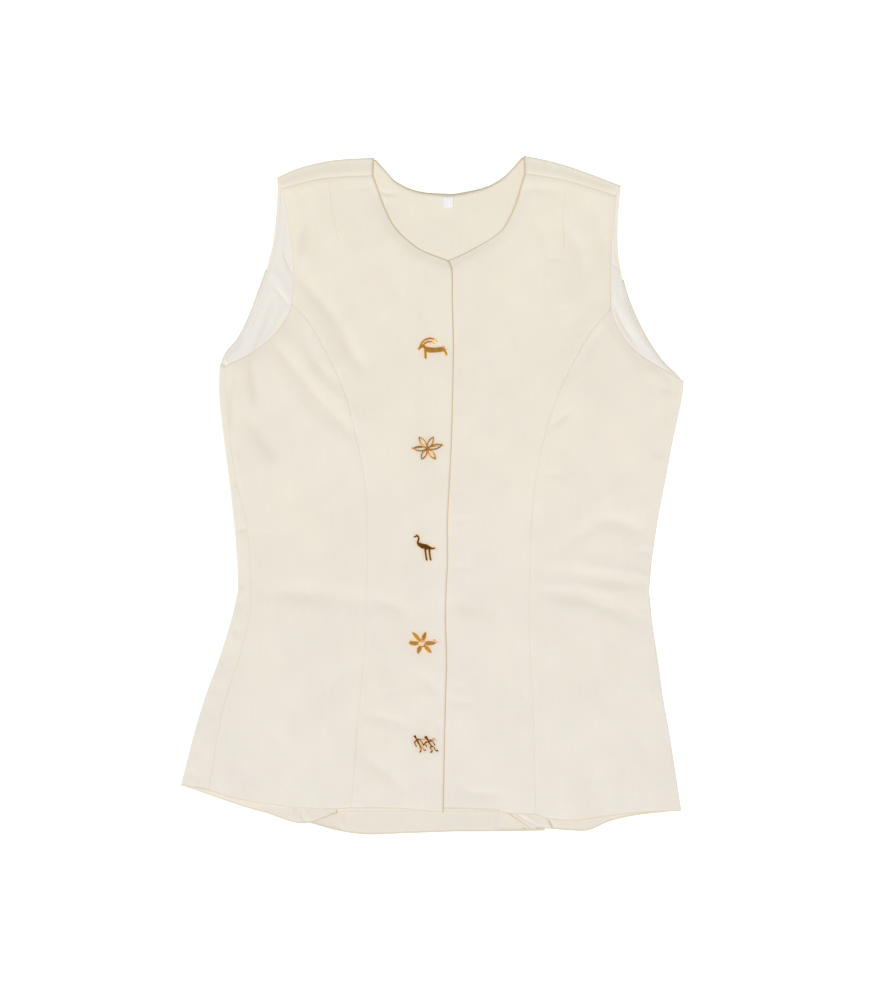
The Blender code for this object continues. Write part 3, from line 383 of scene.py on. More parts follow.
# The same for the small creases, puckers and dents, which no seam or fold calms
FINE_CREASES = creases(
    ("shoulder_blade_right", -139.7, 632.4, -156.1, 621.2, -158.1, 603.8, -0.7, 5),
    ("facing_edge_right", -106.1, 635, -90.8, 636, -74.5, 638, -0.25, 2.6),
    ("facing_edge_left", 71.4, 632.4, 85.7, 635.5, 101, 634.4, -0.5, 3.2),
    ("facing_edge_outer_left", 101, 634.4, 109.1, 633.4, 119.3, 630.4, -0.3, 3),
    ("neck_soft_left", 85.7, 605.9, 97.9, 585.5, 104.5, 566.1, -0.8, 7),
    ("dart_hook_left", 104, 565.1, 109.1, 564.1, 115.3, 566.1, -0.5, 2.5),
    ("beside_princess_left", 156.4, 494.7, 136.1, 462.2, 118.1, 431.3, -1.3, 4.5),
    ("beside_princess_inner_left", 140.8, 449.1, 133.6, 439.6, 127.9, 431.3, -0.5, 3.5),
    ("short_pucker_left", 126, 407, 113.2, 398.8, 102.5, 390.7, -0.9, 3.2),
    ("soft_pucker_left", 94.7, 343.7, 105.1, 344.2, 118.3, 341.7, -0.5, 4.5),
    ("edge_dent_one_left", 2.5, 325.8, 7.1, 326.4, 13, 326.6, -0.4, 3),
    ("edge_dent_two_left", 3.1, 296.8, 12.2, 297.8, 23.9, 298.5, -0.5, 3.6),
    ("edge_dent_three_left", 2.5, 249.3, 11.2, 249.9, 23.5, 250.9, -0.4, 3),
    ("edge_dent_four_left", 2, 113.2, 11.2, 112.2, 23.5, 111.2, -0.6, 3.8),
    ("edge_dent_five_left", 2, 128.5, 11.2, 128, 19.4, 127.5, -0.3, 2.6),
    ("waist_soft_left", 2.5, 213.2, 19.4, 209.1, 41.8, 206, -0.6, 6),
    ("armhole_soft_outer_left", 191.4, 467.2, 196.9, 450.8, 202.8, 431.5, -0.5, 5),
    ("armhole_soft_inner_left", 170.3, 475.3, 175.4, 461, 181.6, 446.8, -0.4, 5),
    ("corner_pucker_left", 216.2, 433.5, 222.4, 430.4, 229.5, 429.4, -0.7, 3.2),
    ("corner_mark_left", 221.3, 447.8, 223.4, 443.7, 224.4, 439.6, -0.4, 2.2),
    ("bust_soft_left", 185.6, 360.1, 176.5, 344.8, 168.3, 330.5, -0.6, 9),
    ("side_short_left", 191.5, 265.7, 197.9, 266.2, 206, 264.2, -0.6, 3),
    ("side_ridge_left", 186.7, 245.8, 195.8, 242.8, 204, 238.7, 0.6, 2.6),
    ("upper_mark_left", 107.1, 510.5, 114.2, 512.5, 122.4, 512.5, -0.3, 3),
    ("side_low_mark_left", 194.8, 207.1, 199.9, 206, 206, 207.1, -0.4, 3),
    ("side_hip_left", 205, 165.2, 200.9, 155, 210.1, 134.6, -0.5, 5),
    ("princess_low_left", 68.3, 175.4, 70.4, 153, 73.4, 114.2, -0.5, 5),
    ("hem_dent_left", 12.2, 24.5, 31.6, 18.4, 52, 19.4, -0.8, 5),
    ("princess_ridge_left", 86.7, 109.1, 89.8, 100, 93.8, 87.7, 0.35, 2),
    ("hem_soft_left", 139.7, 4.1, 145.9, 22.4, 149.9, 42.8, -0.7, 6),
    ("hem_line_left", 166.3, -1, 169.3, 22.4, 174.4, 46.9, 0.5, 4),
    ("seam_foot_left", 92.8, 0, 93.8, 12.2, 95.9, 27.5, -0.6, 5),
    ("side_soft_low_left", 195.8, 83.6, 198.9, 68.3, 203, 53, -0.6, 6),
    ("princess_soft_low_left", 68.3, 81.6, 73.4, 65.3, 79.6, 46.9, -0.5, 6),
    ("side_notch_right", -218.3, 214.2, -214.2, 213.2, -209.1, 215.2, -0.7, 2.2),
    ("flank_pucker_right", -220.3, 190.7, -217.3, 184.6, -211.7, 182.6, -0.8, 2.6),
    ("flank_soft_right", -221.3, 175.4, -224.4, 163.2, -227.5, 151, -0.5, 4),
    ("flank_tuck_right", -232.6, 146.9, -228.5, 144.8, -223.4, 144.8, -0.5, 2.5),
    ("flank_dent_right", -242.8, 127.5, -236.6, 125.5, -229.5, 124.4, -0.6, 4),
    ("flank_slant_right", -248.9, 111.2, -243.8, 103, -238.7, 94.9, -0.5, 3.5),
    ("flank_low_right", -262.1, 62.2, -256, 60.2, -247.9, 61.2, -0.4, 3.5),
    ("hem_tuck_right", -267.2, 39.8, -257, 36.7, -245.3, 34.2, -0.6, 2.6),
    ("beside_side_seam_right", -200.9, 216.2, -203, 197.9, -207.1, 175.4, -0.8, 5),
    ("hip_soft_right", -92.8, 151, -110.2, 138.7, -121.4, 120.4, -0.8, 9),
    ("hip_line_right", -120.4, 142.8, -125.5, 119.3, -128.5, 91.8, -0.7, 5),
    ("hip_line_low_right", -127.5, 88.7, -130.6, 65.3, -133.6, 40.8, -0.5, 5),
    ("hip_soft_outer_right", -180.5, 91.8, -172.4, 71.4, -168.3, 51, -0.7, 9),
    ("centre_low_right", -86.7, 97.9, -67.3, 95.9, -41.8, 87.7, -0.8, 5),
    ("centre_faint_right", -70.4, 120.4, -60.2, 122.4, -49, 126.5, -0.3, 3),
    ("edge_soft_right", -30.6, 138.7, -19.4, 130.6, -6.1, 117.3, -0.7, 6),
    ("edge_dent_right", -13.3, 91.8, -9.2, 87.7, -5.1, 82.6, -0.5, 4),
    ("hem_slant_right", -88.7, 55.1, -65.3, 41.8, -44.9, 23.5, -0.9, 7),
    ("hem_dent_right", -84.7, 16.3, -82.6, 9.2, -81.6, 2, -0.6, 5),
    ("facing_line_right", -215.2, 83.6, -217.3, 57.1, -219.3, 26.5, -0.35, 2.5),
    ("waist_break_low_right", -78.5, 218.3, -55.1, 210.1, -37.7, 199.9, -0.8, 7),
    ("side_thin_right", -217.3, 446.8, -225.4, 431.5, -220.3, 388.6, -0.7, 3.5),
    ("along_princess_low_right", -129.5, 437.6, -120.9, 421.3, -103, 410.6, -0.6, 4),
    ("armhole_to_bust_end_right", -117.3, 490.6, -101, 467.2, -84.7, 451.9, -0.8, 7),
    ("side_pucker_small_right", -220.9, 332.7, -218.3, 330.5, -215.2, 329.5, -0.5, 2),
    ("side_pucker_right", -216.5, 287, -211.1, 286.6, -205, 283.1, -0.9, 2.6),
    ("side_pucker_tail_right", -203, 283.6, -190.7, 284.6, -177.5, 281.5, -0.3, 3),
    ("edge_top_slant_right", -6.4, 555.9, -3.6, 557.4, -0.4, 559.3, -0.3, 1.6),
    ("corner_curve_right", -22.1, 564.6, -21.4, 550.8, -13.9, 540.6, -0.3, 4),
)

# The same for the streaks and bands of the two linings
LINING_CREASES = creases(
    ("seam_right", -169.3, 570.2, -164.2, 556.9, -159.6, 544.7, -0.7, 1.6),
    ("band_right", -180.5, 552.8, -171.4, 539.6, -161.2, 520.2, 0.9, 4.5),
    ("band_edge_right", -177.5, 534.5, -169.3, 524.3, -162.2, 515.1, -0.7, 1.8),
    ("outer_streak_right", -184.6, 532.4, -194.8, 503.9, -207.1, 475.3, 1.1, 2.4),
    ("outer_trough_right", -180.5, 524.3, -189.7, 496.7, -200.9, 471.2, -1.2, 2.4),
    ("inner_streak_right", -169.3, 512, -179.5, 491.6, -190.7, 475.3, 1.1, 2.2),
    ("inner_trough_right", -164.2, 508, -172.4, 491.6, -182.6, 476.3, -1.0, 2.0),
    ("low_streak_right", -209.2, 487.5, -215.3, 477.3, -222.4, 467.1, -0.9, 2.0),
    ("top_streak_right", -167.3, 619.1, -169.3, 595.7, -172.4, 573.2, 0.6, 2.6),
    ("seam_left", 165.6, 559, 170.3, 556.9, 175, 551.8, -0.7, 1.6),
    ("bright_left", 167.3, 547.7, 169.3, 536.5, 170.3, 525.3, 0.6, 3.2),
    ("band_left", 171.4, 526.3, 184.6, 500.8, 203, 472.3, 0.9, 3.6),
    ("band_edge_left", 167.3, 519.2, 177.5, 496.7, 191.8, 475.3, -1.1, 2.2),
    ("outer_trough_left", 178.5, 526.3, 192.8, 501.8, 210.1, 473.3, -0.8, 2.2),
)

# The same for the underside, the neck facing and the turned-up hem
BACK_CREASES = creases(
    ("under_waist_right", -205, 232, -150, 226, -96, 218, 0.9, 8),
    ("under_waist_low_right", -214, 196, -172, 186, -128, 190, 0.6, 6),
    ("under_waist_left", 92, 226, 140, 220, 196, 204, 1.0, 8),
    ("under_waist_high_left", 98, 262, 146, 281, 200, 276, 0.8, 7),
    ("under_blade_right", -186, 448, -150, 404, -112, 372, 0.9, 8),
    ("under_blade_left", 206, 438, 168, 396, 122, 366, 0.9, 8),
    ("under_side_right", -214, 410, -207, 380, -203, 352, 0.5, 6),
    ("under_side_left", 216, 398, 208, 372, 204, 340, 0.5, 6),
    ("under_flute_right", -168, 150, -184, 84, -204, 20, 1.1, 16),
    ("under_flute_left", 128, 150, 140, 80, 150, 2, 1.1, 15),
    ("under_middle_low", -44, 118, -38, 70, -42, 10, 0.7, 12),
    ("under_middle_left", 40, 150, 50, 92, 46, 22, 0.6, 11),
    ("under_small_of_back", -60, 246, -6, 236, 62, 244, 0.7, 9),
    ("under_pucker_right", -198, 300, -176, 306, -158, 300, 0.5, 4),
    ("under_pucker_left", 148, 318, 172, 326, 196, 322, 0.5, 4),
)
FACING_CREASES = creases(
    ("facing_corner", -72, 634.4, -63, 631.0, -53, 632.0, -1.0, 2.0),
    ("facing_corner_ridge", -68, 629.0, -60, 626.4, -52, 627.6, 0.5, 3.0),
    ("facing_soft_right", -56, 618, -50, 606, -47, 594, -0.3, 5),
    ("facing_soft_middle", -22, 624, -14, 612, -12, 600, -0.3, 5),
    ("facing_soft_left", 34, 622, 40, 606, 38, 590, -0.25, 6),
    ("facing_centre_seam", 5.2, 628, 5.4, 596, 5.6, 560, -0.35, 1.6),
)
HEM_CREASES = creases(
    ("hem_inside_one", -112, -4, -110, -10, -106, -18, 0.8, 4),
    ("hem_inside_two", -78, -4, -76, -9, -76, -14, 0.4, 3),
    ("hem_inside_three", -20, -2, -16, -10, -18, -19, 0.3, 5),
    ("hem_inside_four", 38, -4, 42, -10, 40, -18, 0.4, 5),
    ("hem_pleat_right", -160, 4, -158, -3, -157, -8, 0.8, 3),
    ("hem_pleat_left", 97, -8, 101, -13, 105, -18, 0.9, 3.0),
    ("hem_pleat_left_dark", 101.6, -6.6, 104.6, -11.5, 108.4, -17.6, -1.3, 1.3),
    ("hem_flap_left_line", 64, 1, 77, -7, 90, -14, -0.8, 1.1),
    ("hem_flap_left_ridge", 70, 0, 82, -7, 94, -13, 0.5, 2.2),
    ("hem_flank_left_dark", 160, -7.5, 158, -12, 156, -16, -0.8, 1.5),
    ("pleat_curl", -149.9, 2.4, -149.5, -5, -146.5, -10.5, -0.9, 1.5),
    ("pleat_sweep", -145, -11.5, -131, -8.2, -116, -2.2, -0.7, 1.6),
    ("pleat_inner", -142.8, 1, -144, -3, -147, -6.5, 0.6, 1.8),
    ("hem_stitch_line", -110, -1.7, -30, -1.8, 52, -1.9, -0.25, 0.8),
    ("hem_flank_left", 160, -8, 158, -12, 156, -17, 0.7, 3),
)

# The facing inside the back neck, and the two linings that the armholes show
FACING_UPPER = points(
    (-75.3, 665.5), (-62.6, 652), (-54.8, 643.4), (-39.8, 635.6), (-23.4, 631.7), (5, 630.2),
    (30.4, 635.1), (42.8, 639.7), (55.8, 647.6), (64.2, 656), (75, 667.5),
)
FACING_LOWER = points(
    (-92, 640), (-80, 598), (-52, 566), (5, 543), (58, 568), (84, 600), (92, 642),
)
LINING_RIGHT_OUTER = points(
    (-230, 461), (-225.6, 470), (-214.8, 484), (-204.8, 502.3), (-196.8, 522.4),
    (-185.4, 553.3), (-178.4, 584), (-174.3, 624), (-173.8, 640),
)
LINING_RIGHT_INNER = points((-210, 438), (-176, 462), (-142, 500), (-136, 560), (-146, 632))
LINING_LEFT_OUTER = points(
    (233.5, 444), (216.2, 460.4), (201.8, 481), (190.8, 501.6), (182.3, 521.7), (176.3, 542.2),
    (172, 568), (171.3, 600), (173.6, 632),
)
LINING_LEFT_INNER = points((212, 428), (180, 452), (148, 490), (142, 540), (146, 624))

# Where painted shade darkens the folds of the fronts and of the right side. Here a row's rise is
# how much of the painted edge shade the cloth takes.
FOLD_SHADES = creases(
    ("under_chest_fold_right", -180, 476, -145, 432, -97, 380, 0.16, 4.5),
    ("side_fold_right", -206, 399, -193, 380, -176, 358, 0.11, 6),
    ("underarm_right", -204.5, 462, -202, 440, -199, 415, 0.15, 4.5),
    ("flank_right", -223.6, 434, -223, 412, -222, 390, 0.09, 3),
    ("shoulder_fold_right", -154, 540, -119, 502, -101, 469, 0.14, 5),
    ("armhole_fold_right", -147, 599, -149, 582, -152, 566, 0.1, 5),
    ("seam_fold_left", 104, 393, 115, 400, 126, 408, 0.11, 2.2),
    ("seam_fold_high_left", 114.5, 435, 120, 442, 130, 452, 0.06, 4),
    ("waist_fold_left", 93, 223, 141.8, 220, 179.5, 207, 0.08, 4.5),
    ("waist_fold_edge_left", 170, 212, 188, 200, 203, 187, 0.07, 4),
    ("waist_hollow_left", 142, 231.5, 170, 229.5, 199, 231.5, 0.08, 5),
    ("rib_hollow_left", 106, 340, 120, 344, 140, 345, 0.04, 5),
    ("rib_fold_left", 142, 294, 163, 297, 186, 291, 0.04, 6),
    ("edge_pucker_left", 206, 365, 212, 364, 217, 363, 0.06, 4),
    ("underarm_left", 218, 434, 225, 431, 230, 432, 0.09, 3),
    ("front_hollow_left", 11, 207, 25, 204, 39, 201, 0.04, 9),
    ("waist_hollow_right", -198, 221.6, -150, 219, -100, 221, 0.035, 6),
    ("edge_nub_right", -214, 286.6, -210, 286, -206, 285, 0.2, 1.6),
    ("edge_nub_high_right", -220, 334, -218, 332.5, -216.5, 331.5, 0.15, 1.4),
    ("edge_nub_low_right", -213.5, 229.5, -211.5, 228.6, -210, 228, 0.15, 1.5),
    ("edge_spot_right", -217, 364, -215.5, 363, -214, 362, 0.1, 2),
)

# The tucked edge that shows in the lining at the right armhole
LINING_TUCK = points((-169.8, 572.6), (-168.2, 565.5), (-164.8, 557.5), (-160.6, 549.5))

# The stitched shoulder darts of the two fronts
DART_RIGHT = points((-123.0, 644.6), (-118.5, 612.0), (-112.5, 580.5))
DART_LEFT = points((119.9, 641.0), (116.4, 604.0), (117.6, 577.7), (115.3, 569.6))

# The row of stitches along the inside of the turned-up back hem, and tan lines on folds beside it
HEM_STITCH_LINE = points((-110, 0.1), (-80, -0.3), (-40, -0.1), (0, 0.0), (52, -0.2))
HEM_FOLD_LINES = (
    ("right", points((-115.0, 3.4), (-114.4, 1.2), (-113.9, -1.0))),
    ("left", points((102.2, -8.4), (103.2, -12.0), (104.7, -15.8))),
    ("left", points((75.6, -15.6), (76.6, -16.9), (77.6, -18.2))),
)


def smooth_step(value):
    """0 below 0, 1 above 1 and a soft ramp between."""
    held = np.clip(value, 0.0, 1.0)
    return held * held * (3.0 - 2.0 * held)


def spline(knots, per_span=12):
    """A dense line through the knots, rounded at each one and straight between two."""
    knots = np.array([tuple(knot) for knot in knots], dtype=float)
    if len(knots) == 2:
        return knots
    before = 2 * knots[0] - knots[1]
    after = 2 * knots[-1] - knots[-2]
    padded = np.vstack([before, knots, after])
    line = [knots[0]]
    for index in range(len(knots) - 1):
        a, b, c, d = padded[index : index + 4]
        step = math.sqrt(np.linalg.norm(c - b))
        enter = (c - a) / max(math.sqrt(np.linalg.norm(b - a)) + step, 1e-6) * step
        leave = (d - b) / max(step + math.sqrt(np.linalg.norm(d - c)), 1e-6) * step
        for t in np.arange(1, per_span + 1) / per_span:
            line.append(
                (2 * t**3 - 3 * t**2 + 1) * b
                + (t**3 - 2 * t**2 + t) * enter
                + (3 * t**2 - 2 * t**3) * c
                + (t**3 - t**2) * leave
            )
    return np.array(line)


def level_line(column):
    """Where a fold or seam runs, as a dense line from below the hem upward."""
    return spline([(getattr(row, column), row.y) for row in LEVELS])


def level_x(column, y):
    """Where a fold or seam crosses the heights y."""
    line = level_line(column)
    return np.interp(y, line[:, 1], line[:, 0])


def up_line(column, low_y, high_y, top=()):
    """Knots of a fold or seam from low_y to high_y, and on through its top points."""
    knots = [(float(level_x(column, low_y)), low_y)]
    knots += [(getattr(row, column), row.y) for row in LEVELS if low_y + 12 < row.y < high_y - 8]
    if not top:
        knots.append((float(level_x(column, high_y)), high_y))
    return knots + list(top)


def moved(line, dx=0.0, dy=0.0):
    """The line shifted by dx and dy."""
    return np.asarray(line, dtype=float) + np.array([dx, dy])


def patch(bottom, top, left, right):
    """The points of a panel between its four edges, rows from bottom to top."""
    bottom, top, left, right = (line.copy() for line in (bottom, top, left, right))
    for end, line in ((0, bottom), (-1, top)):
        for corner, side in ((0, left), (-1, right)):
            side[end, 1] = line[corner, 1]
            line[corner, 0] = side[end, 0]
    u = np.linspace(0.0, 1.0, len(bottom))[None, :, None]
    v = np.linspace(0.0, 1.0, len(left))[:, None, None]
    across = (1 - v) * bottom[None] + v * top[None]
    along = (1 - u) * left[:, None] + u * right[:, None]
    corners = (
        (1 - u) * (1 - v) * bottom[0]
        + u * (1 - v) * bottom[-1]
        + (1 - u) * v * top[0]
        + u * v * top[-1]
    )
    return across + along - corners


def placed(spots):
    """Points of the tables, in millimetres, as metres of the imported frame."""
    return (np.asarray(spots, dtype=float) + ORIGIN) * MM


def shares(cells, length, first=True, last=True):
    """Shares of a line that is about this long: even cells, and finer ones at the cloth's edges."""
    stops = list(np.linspace(0.0, 1.0, cells + 1))
    rim = [stop / length for stop in RIM_STOPS]
    if first:
        stops = [0.0] + rim + stops[1:]
    if last:
        stops = stops[:-1] + [1.0 - share for share in reversed(rim)] + [1.0]
    return np.array(stops)


def divide(line, parts):
    """The line cut at the given shares of its length."""
    line = np.asarray(line, dtype=float)
    along = np.concatenate([[0.0], np.cumsum(np.linalg.norm(np.diff(line, axis=0), axis=1))])
    stops = np.asarray(parts) * along[-1]
    return np.column_stack([np.interp(stops, along, line[:, axis]) for axis in (0, 1)])


def edge_line(*stretches):
    """One edge made of stretches, each a list of knots and the shares at which it is cut."""
    parts = [divide(spline(knots), cut) for knots, cut in stretches]
    return np.vstack([parts[0]] + [part[1:] for part in parts[1:]])


def crease_rise(flat, creases):
    """What a table of creases adds at each point."""
    x, y = flat[..., 0], flat[..., 1]
    total = np.zeros(x.shape)
    for crease in creases:
        line = spline([(crease.x0, crease.y0), (crease.x1, crease.y1), (crease.x2, crease.y2)], 12)
        reach = 3.2 * crease.reach
        near = (
            (x > line[:, 0].min() - reach)
            & (x < line[:, 0].max() + reach)
            & (y > line[:, 1].min() - reach)
            & (y < line[:, 1].max() + reach)
        )
        if not near.any():
            continue
        share = np.sin(np.pi * (np.arange(len(line)) + 0.5) / len(line)) ** 0.6
        best = np.zeros(int(near.sum()))
        for (px, py), strength in zip(line, share):
            far = ((x[near] - px) ** 2 + (y[near] - py) ** 2) / crease.reach**2
            best = np.maximum(best, strength * np.exp(-far))
        total[near] += crease.rise * best
    return total


def swell_rise(flat):
    """The broad fullness that the seams hold at the bust and the hips."""
    x, y = flat[..., 0], flat[..., 1]
    total = np.zeros(x.shape)
    for swell in SWELLS:
        far = ((x - swell.x) / swell.reach_x) ** 2 + ((y - swell.y) / swell.reach_y) ** 2
        total += swell.rise * np.exp(-far)
    return total


def between_folds(flat, inset, ramp):
    """1 between the two side folds, with a soft ramp that ends inset from each."""
    x, y = flat[..., 0], flat[..., 1]
    right = smooth_step((x - level_x("fold_right", y) - inset) / ramp)
    left = smooth_step((level_x("fold_left", y) - inset - x) / ramp)
    return right * left


def edge_calm(flat):
    """Fades the large creases out towards the side folds and the shoulder seams."""
    return between_folds(flat, 4, 22) * smooth_step((640 - flat[..., 1]) / 30)


def fold_roll(flat):
    """How much lower the front lies where it rolls over the shoulders and into the sides."""
    x, y = flat[..., 0], flat[..., 1]
    fold_right = spline(SHOULDER_FOLD_RIGHT)
    fold_left = spline(SHOULDER_FOLD_LEFT)
    fold_y = np.where(
        x < 0,
        np.interp(x, fold_right[:, 0], fold_right[:, 1]),
        np.interp(x, fold_left[:, 0], fold_left[:, 1]),
    )
    over = np.clip(fold_y - FOLD_INSET - y, 0.0, None)
    roll = SHOULDER_ROLL * np.exp(-((over / SHOULDER_ROLL_REACH) ** 2))
    for side in (x - level_x("fold_right", y), level_x("fold_left", y) - x):
        inward = np.clip(side - FOLD_INSET, 0.0, None)
        roll = roll + SIDE_ROLL * np.exp(-((inward / SIDE_ROLL_REACH) ** 2))
    return roll


def line_distance(flat, line):
    """How far each point lies from a dense line, seen from above."""
    x, y = flat[..., 0], flat[..., 1]
    best = np.full(x.shape, FAR_AWAY)
    for px, py in line:
        best = np.minimum(best, (x - px) ** 2 + (y - py) ** 2)
    return np.sqrt(best)


def opening_droop(flat):
    """How far the fronts hang down to the back along the neckline and the armholes."""
    far = np.full(flat.shape[:-1], FAR_AWAY)
    for knots in (
        NECK_FRONT_RIGHT,
        NECK_FRONT_LEFT,
        ARM_FRONT_RIGHT_HIGH,
        ARM_FRONT_RIGHT_LOW,
        ARM_FRONT_LEFT_HIGH,
        ARM_FRONT_LEFT_LOW,
    ):
        near = points(*(knot for knot in knots if knot[0] != UNDERLAP_X))
        far = np.minimum(far, line_distance(flat, spline(near, 16)))
    away = smooth_step((646 - flat[..., 1]) / 22) * between_folds(flat, 8, 20)
    return EDGE_DROOP * away * np.exp(-((far / DROOP_REACH) ** 2))


def slub_ripple(flat, seed, rise=0.05):
    """A slight unevenness of laid cloth, from a few crossing waves that are fixed by the seed."""
    x, y = flat[..., 0], flat[..., 1]
    rng = np.random.default_rng(seed)
    total = np.zeros(x.shape)
    for _ in range(9):
        turn = rng.uniform(0.0, math.pi)
        length = rng.uniform(18.0, 55.0)
        phase = rng.uniform(0.0, 2 * math.pi)
        total += np.sin(2 * math.pi * (x * math.cos(turn) + y * math.sin(turn)) / length + phase)
    return rise * total


def front_height(flat):
    """The middle of the front cloth above the surface."""
    depth = bpy.context.scene.waistcoat_cloth.crease_depth
    calm = edge_calm(flat)
    large = (swell_rise(flat) + depth * crease_rise(flat, CREASES)) * calm
    fine = depth * crease_rise(flat, FINE_CREASES)
    rise = large + fine + slub_ripple(flat, 11) * calm
    return FRONT_Z + rise - fold_roll(flat) - opening_droop(flat)


def edge_lift(flat):
    """How the opening's upper edge stands up between the brooches, most in the lower half."""
    x, y = flat[..., 0], flat[..., 1]
    near = np.exp(-(((level_x("edge", y) - x) / EDGE_STAND_REACH) ** 2))
    tall = sum(rise * np.exp(-(((y - middle) / reach) ** 2)) for middle, reach, rise in EDGE_STANDS)
    waves = 1.0 + 0.25 * np.sin(y / 17.0) + 0.2 * np.sin(y / 7.3 + 1.1)
    return near * tall * waves


def overlap_height(flat):
    """The same for the right front, which climbs over the underlap."""
    low, high = OVERLAP_RAMP
    rise = OVERLAP_RISE * smooth_step((flat[..., 0] - low) / (high - low))
    return front_height(flat) + rise + edge_lift(flat)


def back_height(flat):
    """The middle of the back cloth, flat but for the creases that its underside has too."""
    return BACK_Z + crease_rise(flat, BACK_CREASES)


def flap_height(flat, side):
    """The middle of a side back panel, which lies over the edge of the centre one near the hem."""
    x, y = flat[..., 0], flat[..., 1]
    if side == "right":
        over = x - (level_x("back_right", y) - FLAP_RAMP - FLAP_CLEAR)
    else:
        over = (level_x("back_left", y) + FLAP_RAMP + FLAP_CLEAR) - x
    fade = 1.0 - smooth_step((y - FLAP_TOP_Y) / FLAP_FADE)
    return back_height(flat) + FLAP_RISE * smooth_step(over / FLAP_RAMP) * fade


def raise_to(flat, height):
    """The points seen from above, with their height."""
    return np.dstack([flat, height])


def folded_edge(fold, inward, low, high, first_angle, last_angle, cells):
    """Columns of points round a folded edge, from one angle to another, seen along the fold."""
    turn = np.radians(np.linspace(first_angle, last_angle, cells + 1))[None, :]
    centre = fold + np.array(inward) * FOLD_INSET
    reach = -np.array(inward)[None, None, :] * (FOLD_RADIUS * np.cos(turn))[..., None]
    flat = centre[:, None, :] + reach
    middle = (low + high)[:, None] / 2
    height = middle + (high - low)[:, None] / 2 * np.sin(turn)
    return raise_to(flat, height)


def split_line(line, x):
    """The line in two parts, cut where it crosses x."""
    heading = np.sign(line[-1, 0] - line[0, 0])
    rising = line if heading > 0 else line[::-1]
    cut = np.array([x, np.interp(x, rising[:, 0], rising[:, 1])])
    beyond = (line[:, 0] - x) * heading > 0
    return np.vstack([line[~beyond], cut]), np.vstack([cut, line[beyond]])


def grid_normals(middle):
    """The direction straight out of the cloth at each point of its grid."""
    across = np.gradient(middle, axis=1)
    along = np.gradient(middle, axis=0)
    normal = np.cross(across, along)
    return normal / np.linalg.norm(normal, axis=2, keepdims=True)


def distances(middle):
    """How far each point lies from the grid's four edges, along the cloth."""
    across = np.linalg.norm(np.diff(middle, axis=1), axis=2)
    along = np.linalg.norm(np.diff(middle, axis=0), axis=2)
    rows, columns = middle.shape[:2]
    left = np.concatenate([np.zeros((rows, 1)), np.cumsum(across, axis=1)], axis=1)
    bottom = np.concatenate([np.zeros((1, columns)), np.cumsum(along, axis=0)], axis=0)
    return {
        "left": left,
        "right": left[:, -1:] - left,
        "bottom": bottom,
        "top": bottom[-1:] - bottom,
    }


def four_edges(left, right, bottom, top):
    """The kinds of a panel's four edges."""
    return {"left": left, "right": right, "bottom": bottom, "top": top}


def edge_marks(middle, kinds, turn_row):
    """The distance from the nearest side of each kind.

    kinds names the kind of each side, as a pair where it changes at turn_row."""
    far = distances(middle)
    rows = np.arange(middle.shape[0])[:, None]
    found = {kind: np.full(middle.shape[:2], FAR_AWAY) for kind in EDGE_KINDS}
    for side, kind in kinds.items():
        low, high = kind if isinstance(kind, tuple) else (kind, kind)
        for part, held in ((low, rows <= turn_row), (high, rows >= turn_row)):
            found[part] = np.minimum(found[part], np.where(held, far[side], FAR_AWAY))
    return found


def closed_cloth(name, middle, thickness, material, tan, rim):
    """A closed wall of cloth round a grid of points in its middle, thin and round at its rim."""
    share = np.clip(rim / RIM_ROUND, 0.0, 1.0)
    half = thickness / 2 * (RIM_LEFT + (1 - RIM_LEFT) * np.sqrt(1.0 - (1.0 - share) ** 2))
    normal = grid_normals(middle) * half[..., None]
    rows, columns = middle.shape[:2]
    count = rows * columns
    corners = np.vstack([(middle + normal).reshape(-1, 3), (middle - normal).reshape(-1, 3)])
    index = np.arange(count).reshape(rows, columns)
    a, b = index[:-1, :-1].ravel(), index[:-1, 1:].ravel()
    c, d = index[1:, 1:].ravel(), index[1:, :-1].ravel()
    upper = np.column_stack([a, b, c, d])
    lower = np.column_stack([a, d, c, b]) + count
    loop = np.concatenate([index[0, :-1], index[:-1, -1], index[-1, :0:-1], index[:0:-1, 0]])
    onward = np.roll(loop, -1)
    wall = np.column_stack([onward, loop, loop + count, onward + count])
    faces = np.vstack([upper, lower, wall])
    mesh = bpy.data.meshes.new(name)
    mesh.from_pydata(placed(corners).tolist(), [], faces.tolist())
    mesh.shade_smooth()
    # The share of painted shade at each point, which the cloth's material reads
    tint = mesh.attributes.new("tan", "FLOAT", "POINT")
    tint.data.foreach_set("value", np.concatenate([tan.ravel(), tan.ravel()]).astype(np.float32))
    mesh.materials.append(material)
    piece = bpy.data.objects.new(name, mesh)
    bpy.context.collection.objects.link(piece)
    return piece


